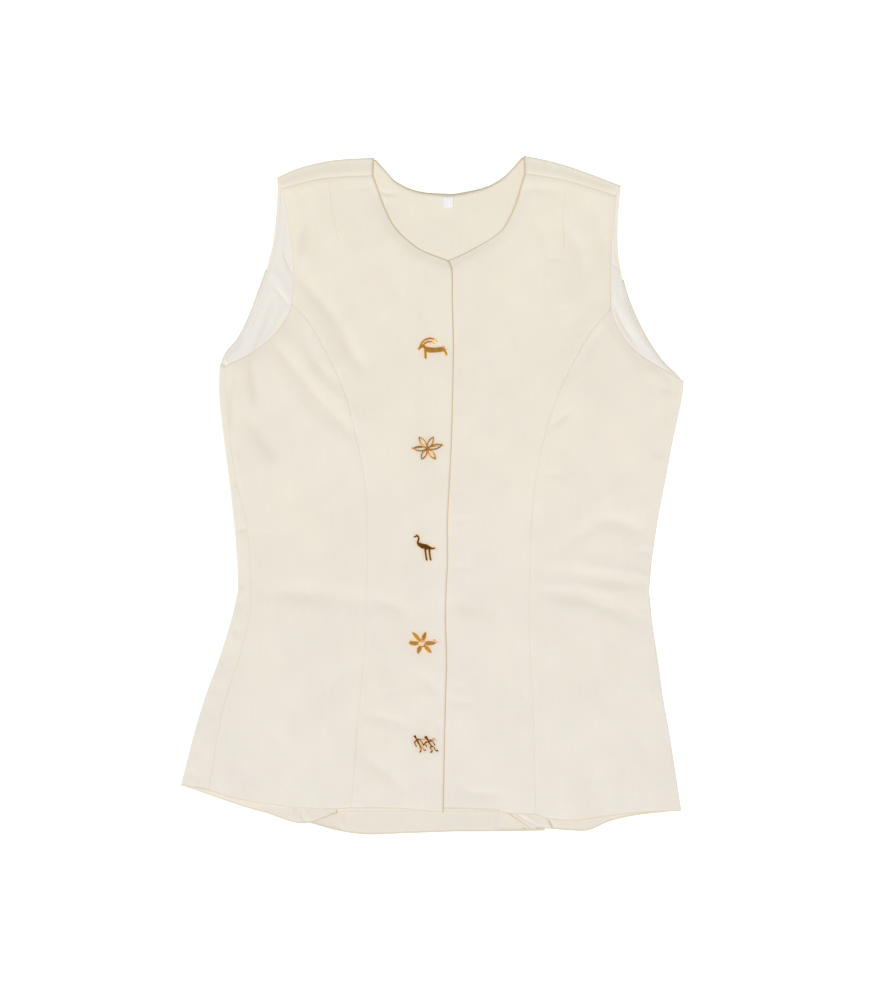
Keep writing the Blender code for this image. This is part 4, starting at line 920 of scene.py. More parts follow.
def sewn_panel(
    node,
    middle,
    kinds,
    outer,
    material,
    turn_row=0,
    thickness=CLOTH,
    hem_shade=0.0,
    shade=0.0,
):
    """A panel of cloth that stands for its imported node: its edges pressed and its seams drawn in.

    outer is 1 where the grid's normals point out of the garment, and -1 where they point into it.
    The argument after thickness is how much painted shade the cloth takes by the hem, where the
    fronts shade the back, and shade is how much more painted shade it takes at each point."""
    marks = edge_marks(middle, kinds, turn_row)
    dip = np.zeros(middle.shape[:2])
    tan = np.zeros(middle.shape[:2])
    # Each kind of edge dips, and takes its painted shade along the edge
    for name, kind in EDGE_KINDS.items():
        dip -= kind.dip * np.exp(-((marks[name] / kind.reach) ** 2))
        dip += kind.rise * np.exp(-(((marks[name] - ALLOWANCE_MIDDLE) / ALLOWANCE_REACH) ** 2))
        tan += kind.tan * np.exp(-((marks[name] / kind.tan_reach) ** 2))
    middle = middle + grid_normals(middle) * (outer * dip)[..., None]
    # Painted shade by the hem, where the fronts shade the back, in hollows and in the fronts' folds
    tan += hem_shade * smooth_step((HEM_SHADE_TOP - middle[..., 1]) / HEM_SHADE_TOP) + shade
    tan += crease_rise(middle, FOLD_SHADES) * smooth_step(middle[..., 2] - SHADED_ABOVE)
    tan = np.clip(tan, 0.0, 1.0)
    rim = np.minimum.reduce([marks[name] for name, kind in EDGE_KINDS.items() if kind.round])
    piece = closed_cloth("sewn_" + node, middle, thickness, material, tan, rim)
    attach(piece, "root")
    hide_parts(node)
    far = distances(middle)
    area = cloth_area(middle)
    return piece


def cloth_area(middle):
    """The area of the cloth, in square metres, unrolled."""
    first = np.cross(middle[:-1, 1:] - middle[:-1, :-1], middle[1:, :-1] - middle[:-1, :-1])
    second = np.cross(middle[:-1, 1:] - middle[1:, 1:], middle[1:, :-1] - middle[1:, 1:])
    total = np.linalg.norm(first, axis=2).sum() + np.linalg.norm(second, axis=2).sum()
    return float(total) / 2 * MM * MM


def front_sides(low_y, princess_top, column):
    """The princess seam of one front, cut for its rows from the hem to where the armhole begins."""
    knots = up_line(column, low_y, UNDERARM_Y, princess_top)
    return knots, shares(FRONT_BODY_CELLS, 530.0, last=False)


def right_front():
    """The front on top: a centre panel and a side panel, meeting at the princess seam."""
    princess, body = front_sides(PRINCESS_FOOT_RIGHT_Y, PRINCESS_TOP_RIGHT, "princess_right")
    edge = up_line("edge", EDGE_FOOT_Y, UNDERARM_Y, EDGE_TOP)
    rise = shares(FRONT_TOP_CELLS, 120.0, first=False)
    across = shares(CENTRE_CELLS, 98.0)
    flat = patch(
        moved(edge_line((HEM_FRONT_RIGHT, across)), SEAM_HALF_GAP),
        moved(edge_line((SHOULDER_SEAM_RIGHT, across)), 0.0, -SEAM_HALF_GAP),
        moved(edge_line((princess, body), (ARM_FRONT_RIGHT_HIGH, rise)), SEAM_HALF_GAP),
        edge_line((edge, body), (NECK_FRONT_RIGHT, rise)),
    )
    yield (
        "front_right_centre",
        raise_to(flat, overlap_height(flat)),
        four_edges(("seam", "armhole"), ("opening", "neckline"), "edge", "shoulder_seam"),
        len(body) - 1,
    )

    full = shares(FRONT_BODY_CELLS, 490.0)
    across = shares(SIDE_CELLS, 125.0)
    seam = up_line("seam_right", *SEAM_RIGHT_SPAN)
    flat = patch(
        edge_line((HEM_FRONT_RIGHT_SIDE, across)),
        edge_line((ARM_FRONT_RIGHT_LOW, across)),
        moved(edge_line((seam, full)), SEAM_HALF_GAP),
        moved(edge_line((princess, full)), -SEAM_HALF_GAP),
    )
    yield (
        "front_right_side",
        raise_to(flat, overlap_height(flat)),
        four_edges("side_seam", "seam", "edge", "armhole"),
        0,
    )


def left_front():
    """The front beneath: a centre panel with the underlap, and a side panel turned at the side."""
    princess, body = front_sides(PRINCESS_FOOT_LEFT_Y, PRINCESS_TOP_LEFT, "princess_left")
    underlap = points((UNDERLAP_X, 4), (UNDERLAP_X, 555))
    rise = shares(FRONT_TOP_CELLS, 120.0, first=False)
    across = shares(CENTRE_CELLS + 6, 118.0)
    flat = patch(
        moved(edge_line((HEM_FRONT_LEFT, across)), -SEAM_HALF_GAP),
        moved(edge_line((SHOULDER_SEAM_LEFT, across)), 0.0, -SEAM_HALF_GAP),
        edge_line((underlap, body), (NECK_FRONT_LEFT, rise)),
        moved(edge_line((princess, body), (ARM_FRONT_LEFT_HIGH, rise)), -SEAM_HALF_GAP),
    )
    yield (
        "front_left_centre",
        raise_to(flat, front_height(flat)),
        four_edges(("edge", "neckline"), ("seam", "armhole"), "edge", "shoulder_seam"),
        len(body) - 1,
    )

    full = shares(FRONT_BODY_CELLS, 480.0)
    across = shares(SIDE_CELLS, 125.0, last=False)
    fold = edge_line((up_line("fold_left", *FOLD_LEFT_SPAN), full))
    turned_at = moved(fold, -FOLD_INSET)
    hem = divide(spline(HEM_FRONT_LEFT_SIDE), across)
    arm = divide(spline(ARM_FRONT_LEFT_LOW[::-1]), across)
    hem[-1] = turned_at[0]
    arm[-1] = turned_at[-1]
    flat = patch(hem, arm, moved(edge_line((princess, full)), SEAM_HALF_GAP), turned_at)
    panel = raise_to(flat, front_height(flat))
    low = back_height(turned_at)
    turned = folded_edge(fold, (-1, 0), low, front_height(turned_at), 90, SEAM_ANGLE, FOLD_CELLS)
    yield (
        "front_left_side",
        np.hstack([panel, turned[:, 1:]]),
        four_edges("seam", "side_fold", "edge", "armhole"),
        0,
    )


def back_seam_line(column, low_y, top):
    """The line of a back panel's inner edge: its tuck below the waist and its seam above."""
    low = up_line(column, low_y, WAIST_Y)
    high = up_line(column, WAIST_Y, UNDERARM_Y, top)
    low_part = shares(BACK_LOW_CELLS, 245.0, last=False)
    return edge_line((low, low_part), (high, shares(BACK_HIGH_CELLS, 340.0, first=False)))


def back_centre(side, back_top, arm, neck, fold_knots, seam_knots, hem_knots):
    """A centre back panel: flat beneath, over the shoulder and down to the shoulder seam."""
    low_y = hem_knots[0].y if side == "right" else hem_knots[-1].y
    low_part = shares(BACK_LOW_CELLS, 245.0, last=False)
    high_part = np.linspace(0.0, 1.0, BACK_HIGH_CELLS + 1)
    top_part = np.linspace(0.0, 1.0, BACK_TOP_CELLS + 1)
    across = shares(BACK_CELLS * 2, 150.0)
    lower = up_line("back_" + side, low_y, WAIST_Y)
    upper = up_line("back_" + side, WAIST_Y, UNDERARM_Y, back_top)
    outer = edge_line((lower, low_part), (upper, high_part), (arm, top_part))
    middle_low = points((5, -20.5), (5, WAIST_Y))
    middle_high = points((5, WAIST_Y), (5, 631))
    inner = edge_line((middle_low, low_part), (middle_high, high_part), (neck, top_part))
    outward = -1 if side == "right" else 1
    outer = moved(outer, -outward * SEAM_HALF_GAP)
    inner = moved(inner, outward * SEAM_HALF_GAP)
    fold = edge_line((fold_knots, across))
    seam = moved(edge_line((seam_knots, across)), 0.0, SEAM_HALF_GAP)
    hem = edge_line((hem_knots, across))
    low_line = moved(fold, 0.0, -FOLD_INSET)
    left, right = (outer, inner) if side == "right" else (inner, outer)
    left[-1] = low_line[0]
    right[-1] = low_line[-1]
    flat = patch(hem, low_line, left, right)
    floor = raise_to(flat, back_height(flat))
    high = front_height(low_line)
    turned = folded_edge(fold, (0, -1), back_height(low_line), high, -90, 90, FOLD_CELLS * 2)
    turned = turned.transpose(1, 0, 2)
    cuts = shares(STRIP_CELLS, 14.0, first=False)[1:]
    strip = np.stack([low_line * (1 - t) + seam * t for t in cuts])
    over = raise_to(strip, front_height(strip))
    turn_row = BACK_LOW_CELLS + len(RIM_STOPS) + BACK_HIGH_CELLS
    left, right = ("seam", "armhole"), ("seam", "neckline")
    if side == "left":
        left, right = right, left
    kinds = four_edges(left, right, "edge", "shoulder_seam")
    return "back_centre_" + side, np.vstack([floor, turned[1:], over]), kinds, turn_row


def back_side_floor(side, low_y, back_top, hem_knots, arm_knots, turned_at):
    """The flat part of a side back panel, from its tucked edge out to where the side turns."""
    outward = -1 if side == "right" else 1
    inner = moved(back_seam_line("flap_" + side, low_y, back_top), outward * SEAM_HALF_GAP)
    rise = moved(back_seam_line("back_" + side, low_y, back_top), outward * FLAP_CLEAR)
    hem = spline(hem_knots)
    arm = spline(arm_knots[::-1])
    hem[-1] = turned_at[0]
    arm[-1] = turned_at[-1]
    hem_near, hem_far = split_line(hem, rise[0, 0])
    arm_near, arm_far = split_line(arm, rise[-1, 0])
    near_part = shares(5, 20.0, last=False)
    far_part = np.linspace(0.0, 1.0, BACK_CELLS * 2 + 1)
    near = patch(divide(hem_near, near_part), divide(arm_near, near_part), inner, rise)
    far = patch(divide(hem_far, far_part), divide(arm_far, far_part), rise, turned_at)
    flat = np.hstack([near, far[:, 1:]])
    return raise_to(flat, flap_height(flat, side))


def back_side_rows():
    """The rows of a side back panel, the same at its seam as at its side."""
    low_part = shares(BACK_LOW_CELLS, 245.0, last=False)
    high_part = shares(BACK_HIGH_CELLS, 340.0, first=False)
    return low_part, high_part


def side_line(column, low_y, high_y):
    """A side fold or seam cut in the same rows as the back seam."""
    low_part, high_part = back_side_rows()
    low = up_line(column, low_y, WAIST_Y)
    high = up_line(column, WAIST_Y, high_y)
    return edge_line((low, low_part), (high, high_part))


def right_side_back():
    """The right side back: flat beneath, round the side fold and over to the side seam."""
    fold = side_line("fold_right", *FOLD_RIGHT_SPAN)
    seam = side_line("seam_right", *SEAM_RIGHT_SPAN)
    turned_at = moved(fold, FOLD_INSET)
    floor = back_side_floor(
        "right",
        FLAP_FOOT_RIGHT_Y,
        BACK_TOP_RIGHT,
        HEM_BACK_RIGHT_SIDE,
        ARM_BACK_RIGHT_LOW,
        turned_at,
    )
    high = front_height(turned_at)
    low = back_height(turned_at)
    turned = folded_edge(fold, (1, 0), low, high, -90, 90, FOLD_CELLS * 2)
    seam = moved(seam, -SEAM_HALF_GAP)
    cuts = shares(STRIP_CELLS * 2, 26.0, first=False)[1:]
    strip = np.stack([turned_at * (1 - t) + seam * t for t in cuts], axis=1)
    over = raise_to(strip, front_height(strip))
    middle = np.hstack([floor, turned[:, 1:], over])
    return middle, four_edges("seam", "side_seam", "edge", "armhole")


def left_side_back():
    """The left side back: flat beneath, up to the side seam at the fold."""
    fold = side_line("fold_left", *FOLD_LEFT_SPAN)
    turned_at = moved(fold, -FOLD_INSET)
    floor = back_side_floor(
        "left",
        FLAP_FOOT_LEFT_Y,
        BACK_TOP_LEFT,
        HEM_BACK_LEFT_SIDE,
        ARM_BACK_LEFT_LOW,
        turned_at,
    )
    high = front_height(turned_at)
    low = back_height(turned_at)
    turned = folded_edge(fold, (-1, 0), low, high, -90, -SEAM_ANGLE, FOLD_CELLS)
    middle = np.hstack([floor, turned[:, 1:]])
    return middle, four_edges("seam", "side_fold", "edge", "armhole")


def neck_facing():
    """The facing inside the back neckline, which runs on under the fronts."""
    flat = patch(
        edge_line((FACING_LOWER, shares(96, 190.0))),
        edge_line((FACING_UPPER, shares(96, 160.0))),
        edge_line(((FACING_LOWER[0], FACING_UPPER[0]), shares(30, 40.0))),
        edge_line(((FACING_LOWER[-1], FACING_UPPER[-1]), shares(30, 40.0))),
    )
    height = BACK_Z + ON_BACK + crease_rise(flat, FACING_CREASES)
    return raise_to(flat, height)


def lining(outer, inner):
    """The white lining inside the back, where an armhole shows it."""
    flat = patch(
        edge_line(((outer[0], inner[0]), shares(34, 40.0))),
        edge_line(((outer[-1], inner[-1]), shares(34, 40.0))),
        edge_line((outer, shares(150, 230.0))),
        edge_line((inner, shares(150, 220.0))),
    )
    height = BACK_Z + ON_BACK + crease_rise(flat, LINING_CREASES)
    middle = raise_to(flat, height)
    from_edge = distances(middle)
    pucker = PUCKER * np.sin(from_edge["bottom"] * 2 * math.pi / PUCKER_PITCH) * smooth_step(
        (PUCKER_END - from_edge["left"]) / PUCKER_FADE
    )
    middle[..., 2] += pucker * smooth_step(from_edge["left"] / PUCKER_START)
    return middle


def turned_hem(knots, first, last, side):
    """The back hem's turned-up allowance, which shows below the fronts."""
    line = spline(knots)
    order = np.argsort(line[:, 0])
    span = abs(last - first)
    x = first + (last - first) * shares(int(span * HEM_CUTS), span)
    foot = np.column_stack([x, np.interp(x, line[order, 0], line[order, 1]) + HEM_INSET])
    rows = shares(int(HEM_DEPTH * HEM_CUTS), HEM_DEPTH)
    flat = np.stack([foot + np.array([0.0, HEM_DEPTH * row]) for row in rows])
    base = flap_height(flat, side) if side else back_height(flat)
    height = base + ON_BACK + HEM_EASE + crease_rise(flat, HEM_CREASES)
    from_end = np.minimum(np.abs(flat[..., 0] - first), np.abs(flat[..., 0] - last))
    height -= HEM_END_SINK * np.exp(-((from_end / HEM_END_REACH) ** 2))
    return raise_to(flat, height)


def label_middle():
    """The little woven label at the back neck, with nothing on it, flat but for a slight waviness.
    """
    cut = shares(22, LABEL_HIGH.x - LABEL_LOW.x)
    x = LABEL_LOW.x + (LABEL_HIGH.x - LABEL_LOW.x) * cut
    y = LABEL_LOW.y + (LABEL_HIGH.y - LABEL_LOW.y) * cut
    flat = np.dstack(np.meshgrid(x, y))
    height = np.full(flat.shape[:2], BACK_Z + ON_BACK + (THIN_CLOTH + TAPE) / 2 + GAP)
    height += 0.14 * np.sin(flat[..., 0] * 0.5 + 0.6) - 0.1 * np.cos(flat[..., 1] * 0.42)
    return raise_to(flat, height)


def capsule(start, end, start_radius, end_radius):
    """The outline round two discs and what lies between them."""
    (x0, y0), (x1, y1) = start, end
    heading = math.atan2(y1 - y0, x1 - x0)
    length = max(math.hypot(x1 - x0, y1 - y0), 1e-6)
    lean = math.acos(max(-1.0, min(1.0, (start_radius - end_radius) / length)))
    outline = []
    for centre_x, centre_y, radius, low, high in (
        (x1, y1, end_radius, -lean, lean),
        (x0, y0, start_radius, lean, 2 * math.pi - lean),
    ):
        steps = max(2, round(ROUND_SIDES * (high - low) / (2 * math.pi)))
        for step in range(steps + 1):
            angle = heading + low + (high - low) * step / steps
            x = centre_x + radius * math.cos(angle)
            outline.append((x, centre_y + radius * math.sin(angle)))
    return outline


def stroke(*stops):
    """Outlines of a tapering stroke through stops of x, y and radius."""
    return [capsule(a[:2], b[:2], a[2], b[2]) for a, b in zip(stops, stops[1:])]


def strokes(*rows):
    """The outlines of several strokes."""
    return [outline for stops in rows for outline in stroke(*stops)]


def petal(angle, start, end, half_width):
    """A pointed oval from one distance to another along an angle, in degrees."""
    turn = math.radians(angle)
    outline = []
    for side in (1, -1):
        for step in range(7):
            t = step / 7 if side == 1 else 1 - step / 7
            along = start + (end - start) * t
            aside = side * half_width * math.sin(math.pi * t) ** 0.8
            outline.append(
                (
                    along * math.cos(turn) - aside * math.sin(turn),
                    along * math.sin(turn) + aside * math.cos(turn),
                )
            )
    return outline


def disc(x, y, radius, sides=14):
    """The outline of a disc."""
    turns = [2 * math.pi * step / sides for step in range(sides)]
    return [(x + radius * math.cos(turn), y + radius * math.sin(turn)) for turn in turns]


# A row for each brooch: where its middle lies, how its pin runs from the hinge to the tip, and
# where the catch stands
Brooch = namedtuple("Brooch", "name x y motif hinge_x hinge_y catch_x catch_y tip_x tip_y")


def goat():
    """Shapes, holes and the raised lines of a goat with long swept horns."""
    shapes = strokes(
        ((-14.6, -0.6, 0.8), (-13.2, 1.2, 1.3), (-11.0, 2.8, 1.5), (-8.6, 1.6, 1.7)),
        ((-8.6, 1.6, 1.7), (-6.8, -0.8, 1.9), (-4.4, -1.6, 2.4), (2.0, -1.5, 2.45)),
        ((2.0, -1.5, 2.45), (8.4, -0.7, 2.4), (10.6, -1.0, 1.9)),
        ((-7.4, -1.5, 1.6), (-7.6, -5.5, 1.25), (-7.5, -9.6, 1.1)),
        ((10.4, -1.0, 1.8), (12.4, -3.4, 1.35), (13.6, -6.2, 1.05)),
        ((-12.4, 3.2, 0.95), (-11.0, 6.4, 0.9), (-7.6, 9.4, 0.85), (-3.0, 10.6, 0.8)),
        ((-3.0, 10.6, 0.8), (1.0, 9.7, 0.7), (4.0, 7.2, 0.62)),
        ((-9.6, 3.2, 0.9), (-8.4, 5.2, 0.85), (-5.2, 7.1, 0.75), (-1.4, 7.1, 0.65)),
        ((-1.4, 7.1, 0.65), (0.8, 5.4, 0.55)),
    )
    lines = [((-6.2, -0.2), (8.6, 0.4)), ((-6.4, -2.6), (8.0, -2.0)), ((-7.5, -3.4), (-7.5, -8.8))]
    return shapes, [], lines


def open_flower():
    """Shapes, holes and lines of a flower of six open petals."""
    shapes = [disc(0, 0, 1.3)]
    holes = []
    petals = ((15, 16.2), (63, 14.0), (125, 15.2), (178, 15.0), (240, 12.6), (309, 13.8))
    for angle, length in petals:
        shapes.append(petal(angle, 0.2, length, 2.75))
        holes.append(petal(angle, 1.7, length - 1.6, 1.7))
    return shapes, holes, []


def bird():
    """Shapes, holes and lines of a long-legged bird."""
    shapes = strokes(
        ((-9.8, 9.6, 0.45), (-8.2, 10.0, 0.75), (-6.6, 10.9, 1.15), (-5.0, 9.2, 1.0)),
        ((-5.0, 9.2, 1.0), (-4.9, 6.6, 0.95), (-5.8, 4.2, 1.1), (-4.8, 1.8, 1.6)),
        ((-4.8, 1.8, 1.6), (-2.0, 0.6, 2.4), (2.2, -0.4, 2.7), (5.8, -1.6, 1.9)),
        ((5.8, -1.6, 1.9), (8.2, -2.2, 0.95), (10.8, -2.1, 0.7)),
        ((1.8, -2.6, 1.1), (2.2, -7.0, 0.9), (2.9, -11.8, 0.85), (3.3, -13.6, 0.95)),
        ((5.9, -2.6, 1.1), (6.3, -7.4, 0.9), (6.9, -11.8, 0.85), (7.4, -13.6, 0.95)),
    )
    return shapes, [], [((-3.6, 1.9), (5.0, -0.8))]


def solid_flower():
    """Shapes, holes and lines of a flower of six full petals round an open middle."""
    shapes = [disc(0, 0, 4.1, 30)]
    lines = []
    petals = ((1, 14.7), (70, 12.5), (130, 15.0), (180, 13.9), (248, 11.8), (315, 14.1))
    for angle, length in petals:
        shapes.append(petal(angle, 1.6, length, 2.15))
        turn = math.radians(angle)
        inner, outer = 4.6, length - 2.8
        lines.append(
            (
                (inner * math.cos(turn), inner * math.sin(turn)),
                (outer * math.cos(turn), outer * math.sin(turn)),
            )
        )
    return shapes, [disc(-0.2, 0, 3.05, 30)], lines


def leading_figure():
    """The strokes of the smaller figure in front, with both arms held down."""
    return strokes(
        ((-10.7, 8.0, 1.2), (-9.9, 6.1, 0.65), (-8.8, 4.1, 0.95)),
        ((-8.8, 4.1, 0.95), (-7.0, 0.9, 0.7), (-5.4, -2.4, 0.62)),
        ((-9.2, 3.8, 0.5), (-10.7, 2.9, 0.45), (-11.1, 1.4, 0.45), (-9.5, -2.0, 0.5)),
        ((-8.6, 4.4, 0.5), (-7.2, 5.0, 0.45), (-5.8, 4.6, 0.45), (-4.1, 2.5, 0.5)),
        ((-4.1, 2.5, 0.5), (-2.0, -1.2, 0.55)),
        ((-5.6, -2.5, 0.5), (-4.4, -5.2, 0.42), (-4.9, -7.4, 0.5), (-5.6, -7.7, 0.5)),
        ((-5.2, -2.0, 0.45), (-3.0, -3.9, 0.4), (-1.2, -6.2, 0.42), (0.1, -5.5, 0.42)),
    )


def following_figure():
    """The strokes of the taller figure behind, in a longer stride."""
    return strokes(
        ((0.5, 7.0, 1.5), (1.6, 5.2, 0.95), (3.0, 2.9, 0.95)),
        ((3.0, 2.9, 0.95), (4.5, 0.3, 0.7), (5.8, -1.9, 0.65)),
        ((2.6, 2.7, 0.5), (0.4, 2.2, 0.45), (-0.6, 0.7, 0.45), (1.0, -2.1, 0.5)),
        ((3.4, 2.9, 0.5), (5.4, 3.8, 0.45), (7.0, 3.1, 0.45), (9.2, -0.6, 0.55)),
        ((5.7, -2.0, 0.6), (4.8, -3.7, 0.5), (6.6, -5.9, 0.5), (6.9, -7.3, 0.5)),
        ((6.9, -7.3, 0.5), (5.4, -7.9, 0.6)),
        ((5.9, -1.8, 0.55), (7.9, -2.3, 0.5), (9.3, -4.6, 0.5), (10.6, -6.4, 0.5)),
        ((10.6, -6.4, 0.5), (12.4, -6.4, 0.6)),
    )


def two_figures():
    """Shapes, holes and lines of two figures that walk one behind the other."""
    held_hand = stroke((-2.0, -0.6, 0.5), (-0.6, 1.0, 0.5))
    return leading_figure() + following_figure() + held_hand, [], []


BROOCHES = (
    Brooch("brooch_1_goat", -16.3, 472.3, goat, -6.8, 1.6, 11.0, 2.0, 16.0, -0.6),
    Brooch("brooch_2_open_flower", -22.1, 370.2, open_flower, -15.0, 0.6, 14.6, 4.0, 18.2, 3.6),
    Brooch("brooch_3_bird", -26.0, 271.0, bird, -2.8, 3.4, 11.6, -1.6, 14.8, -3.8),
    Brooch("brooch_4_solid_flower", -27.7, 172.3, solid_flower, -11.6, 1.8, 12.8, 2.8, 19.6, 1.0),
    Brooch("brooch_5_figures", -24.0, 69.4, two_figures, -7.4, 5.4, 8.6, 5.6, 12.8, 4.2),
)


# The brooches whose metal is darker than polished gold
METALS = {
    "brooch_2_open_flower": "aged_gold",
    "brooch_3_bird": "dark_gold",
    "brooch_5_figures": "dark_gold",
}


# The brooches whose thin strokes are cast a little fuller, and the one whose rim is narrower
MOTIF_GROWTH = {"brooch_2_open_flower": 0.2, "brooch_5_figures": 0.26}
MOTIF_ROUNDING = {"brooch_5_figures": 0.18}


def within(place, outline):
    """Whether a place is inside a closed outline."""
    odd = False
    for (x0, y0), (x1, y1) in zip(outline, outline[1:] + outline[:1]):
        if (y0 > place.y) != (y1 > place.y):
            odd ^= place.x < x0 + (place.y - y0) * (x1 - x0) / (y1 - y0)
    return odd


def cut_plate(shapes, holes, low, high):
    """A plate of the joined shapes without the holes, and the points along its outline."""
    outlines = shapes + holes
    corners = [corner for outline in outlines for corner in outline]
    faces = []
    for outline in outlines:
        start = sum(len(face) for face in faces)
        faces.append(list(range(start, start + len(outline))))
    found = delaunay_2d_cdt(corners, [], faces, 1, 0.02)
    places, triangles = found[0], found[2]
    kept = []
    for triangle in triangles:
        middle = sum((places[corner] for corner in triangle), Vector((0.0, 0.0))) / 3
        covered = any(within(middle, outline) for outline in shapes)
        if covered and not any(within(middle, outline) for outline in holes):
            kept.append(triangle)
    used = sorted({corner for triangle in kept for corner in triangle})
    plate = bmesh.new()
    rings = []
    for z in (low, high):
        rings.append({k: plate.verts.new((places[k][0], places[k][1], z)) for k in used})
    lower, upper = rings
    sides = set()
    for a, b, c in kept:
        plate.faces.new((upper[a], upper[b], upper[c]))
        plate.faces.new((lower[c], lower[b], lower[a]))
        sides |= {(a, b), (b, c), (c, a)}
    outline = []
    for a, b in sorted(sides):
        if (b, a) not in sides:
            plate.faces.new((upper[b], upper[a], lower[a], lower[b]))
            steps = max(2, round((places[b] - places[a]).length / OUTLINE_STEP))
            outline += [places[a].lerp(places[b], step / steps) for step in range(steps)]
    mesh = bpy.data.meshes.new("plate")
    plate.to_mesh(mesh)
    plate.free()
    return mesh, outline


def from_line(point, line):
    """How far a point lies from a straight line between two ends."""
    start, end = Vector(line[0]), Vector(line[1])
    along = (point - start).dot(end - start) / max((end - start).length_squared, 1e-9)
    return (point - start.lerp(end, min(1.0, max(0.0, along)))).length


def cast_metal(name, shapes, holes, lines, row, low, material):
    """A cast brooch front: the joined shapes, flat on top with a round bevel and cut lines."""
    mesh, outline = cut_plate(shapes, holes, 0.0, BROOCH_PLATE)
    rough = bpy.data.objects.new("rough_" + name, mesh)
    bpy.context.collection.objects.link(rough)
    remesh = rough.modifiers.new("Remesh", "REMESH")
    remesh.mode = "VOXEL"
    remesh.voxel_size = BROOCH_VOXEL
    soften = rough.modifiers.new("Soften", "SMOOTH")
    soften.factor = 0.5
    soften.iterations = 3
    grow = rough.modifiers.new("Grow", "DISPLACE")
    grow.strength = MOTIF_GROWTH.get(row.name, BROOCH_GROWTH)
    grow.mid_level = 0.0
    view = bpy.context.evaluated_depsgraph_get()
    body = bpy.data.meshes.new_from_object(rough.evaluated_get(view))
    bpy.data.objects.remove(rough)
    tree = kdtree.KDTree(len(outline))
    for number, place in enumerate(outline):
        tree.insert((place.x, place.y, 0.0), number)
    tree.balance()
    # Painted light and shade along the rim, as a share for the material
    polish = body.attributes.new("polish", "FLOAT", "POINT").data
    rounding = MOTIF_ROUNDING.get(row.name, BEVEL_RADIUS)
    for vertex in body.vertices:
        flat = Vector((vertex.co.x, vertex.co.y))
        inside = tree.find((flat.x, flat.y, 0.0))[2]
        top = float(smooth_step((vertex.co.z - BEVEL_FROM) / BEVEL_BLEND))
        bevel = 1.0 - min(inside / rounding, 1.0)
        near_rim = 1.0 - min(inside / (rounding * RIM_LIGHT_SHADE_SPREAD), 1.0)
        polish[vertex.index].value = RIM_LIGHT_SHADE * near_rim
        rise = BEVEL_RISE * math.sqrt(1.0 - bevel * bevel)
        groove = sum(math.exp(-((from_line(flat, line) / GROOVE_REACH) ** 2)) for line in lines)
        vertex.co.z += top * (rise - GROOVE_DEPTH * min(groove, 1.0))
    body.transform(brooch_place((row.x, row.y), low))
    body.name = name
    body.shade_smooth()
    body.materials.clear()
    body.materials.append(material)
    piece = bpy.data.objects.new(name, body)
    bpy.context.collection.objects.link(piece)
    return piece


def brooch_place(middle, low):
    """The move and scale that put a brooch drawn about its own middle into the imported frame."""
    spot = placed((middle[0], middle[1], low))
    return Matrix.Translation(Vector(spot)) @ Matrix.Scale(MM, 4)


def tube(path, radii, sides=12):
    """The corners and faces of a round closed tube along a path."""
    path = np.asarray(path, dtype=float)
    ahead = np.gradient(path, axis=0)
    ahead /= np.linalg.norm(ahead, axis=1, keepdims=True)
    up = np.where(np.abs(ahead[:, 2:3]) > 0.9, [[1.0, 0.0, 0.0]], [[0.0, 0.0, 1.0]])
    aside = np.cross(ahead, up)
    aside /= np.linalg.norm(aside, axis=1, keepdims=True)
    upward = np.cross(aside, ahead)
    turn = np.linspace(0.0, 2 * math.pi, sides, endpoint=False)
    across, along = np.cos(turn)[None, :, None], np.sin(turn)[None, :, None]
    ring = aside[:, None] * across + upward[:, None] * along
    corners = path[:, None] + ring * np.asarray(radii, dtype=float)[:, None, None]
    index = np.arange(len(path) * sides).reshape(len(path), sides)
    after = np.roll(index, -1, axis=1)
    walls = np.dstack([index[:-1], after[:-1], after[1:], index[1:]]).reshape(-1, 4)
    ends = [index[0][::-1].tolist(), index[-1].tolist()]
    return corners.reshape(-1, 3), walls.tolist() + ends


def tubes_piece(name, tubes, material):
    """One object of many tubes."""
    corners, faces = [], []
    for tube_corners, tube_faces in tubes:
        start = sum(len(part) for part in corners)
        corners.append(tube_corners)
        faces += [[corner + start for corner in face] for face in tube_faces]
    mesh = bpy.data.meshes.new(name)
    mesh.from_pydata(placed(np.vstack(corners)).tolist(), [], faces)
    mesh.shade_smooth()
    mesh.materials.append(material)
    piece = bpy.data.objects.new(name, mesh)
    bpy.context.collection.objects.link(piece)
    return piece


def ball(x, y, z, radius, rings=9, sides=14):
    """A round knob as a tube whose radius swells and shrinks."""
    lift = np.linspace(-1.0, 1.0, rings)
    path = [(x, y, z + radius * step * 0.98) for step in lift]
    return tube(path, radius * np.sqrt(np.clip(1.02 - lift**2, 0.02, 1.0)), sides)


def brooch_pin(row, low, material):
    """The pin behind a brooch, from its coiled hinge to its point, with the hook that holds it."""
    middle_z = low + PIN_LIFT
    start = Vector((row.x + row.hinge_x, row.y + row.hinge_y, middle_z))
    tip = Vector((row.x + row.tip_x, row.y + row.tip_y, middle_z - 0.1))
    steps = range(PIN_STEPS + 1)
    path = [tuple(start.lerp(tip, step / PIN_STEPS)) for step in steps]
    radii = [PIN_RADIUS - PIN_TAPER * max(0, step - PIN_TAPER_FROM) for step in steps]
    pieces = [tube(path, radii), ball(start.x, start.y, middle_z + 0.1, HINGE_RADIUS)]
    hook = []
    for step in range(HOOK_STEPS + 1):
        turn = math.radians(-60 + 300 * step / HOOK_STEPS)
        hook.append(
            (
                row.x + row.catch_x + 0.95 * math.cos(turn),
                row.y + row.catch_y + 0.85 * math.sin(turn),
                middle_z + 0.9 + 0.6 * math.sin(turn / 2),
            )
        )
    pieces.append(tube(hook, [HOOK_RADIUS] * HOOK_STEPS + [0.24], 10))
    return tubes_piece(row.name + "_pin_wire", pieces, material)


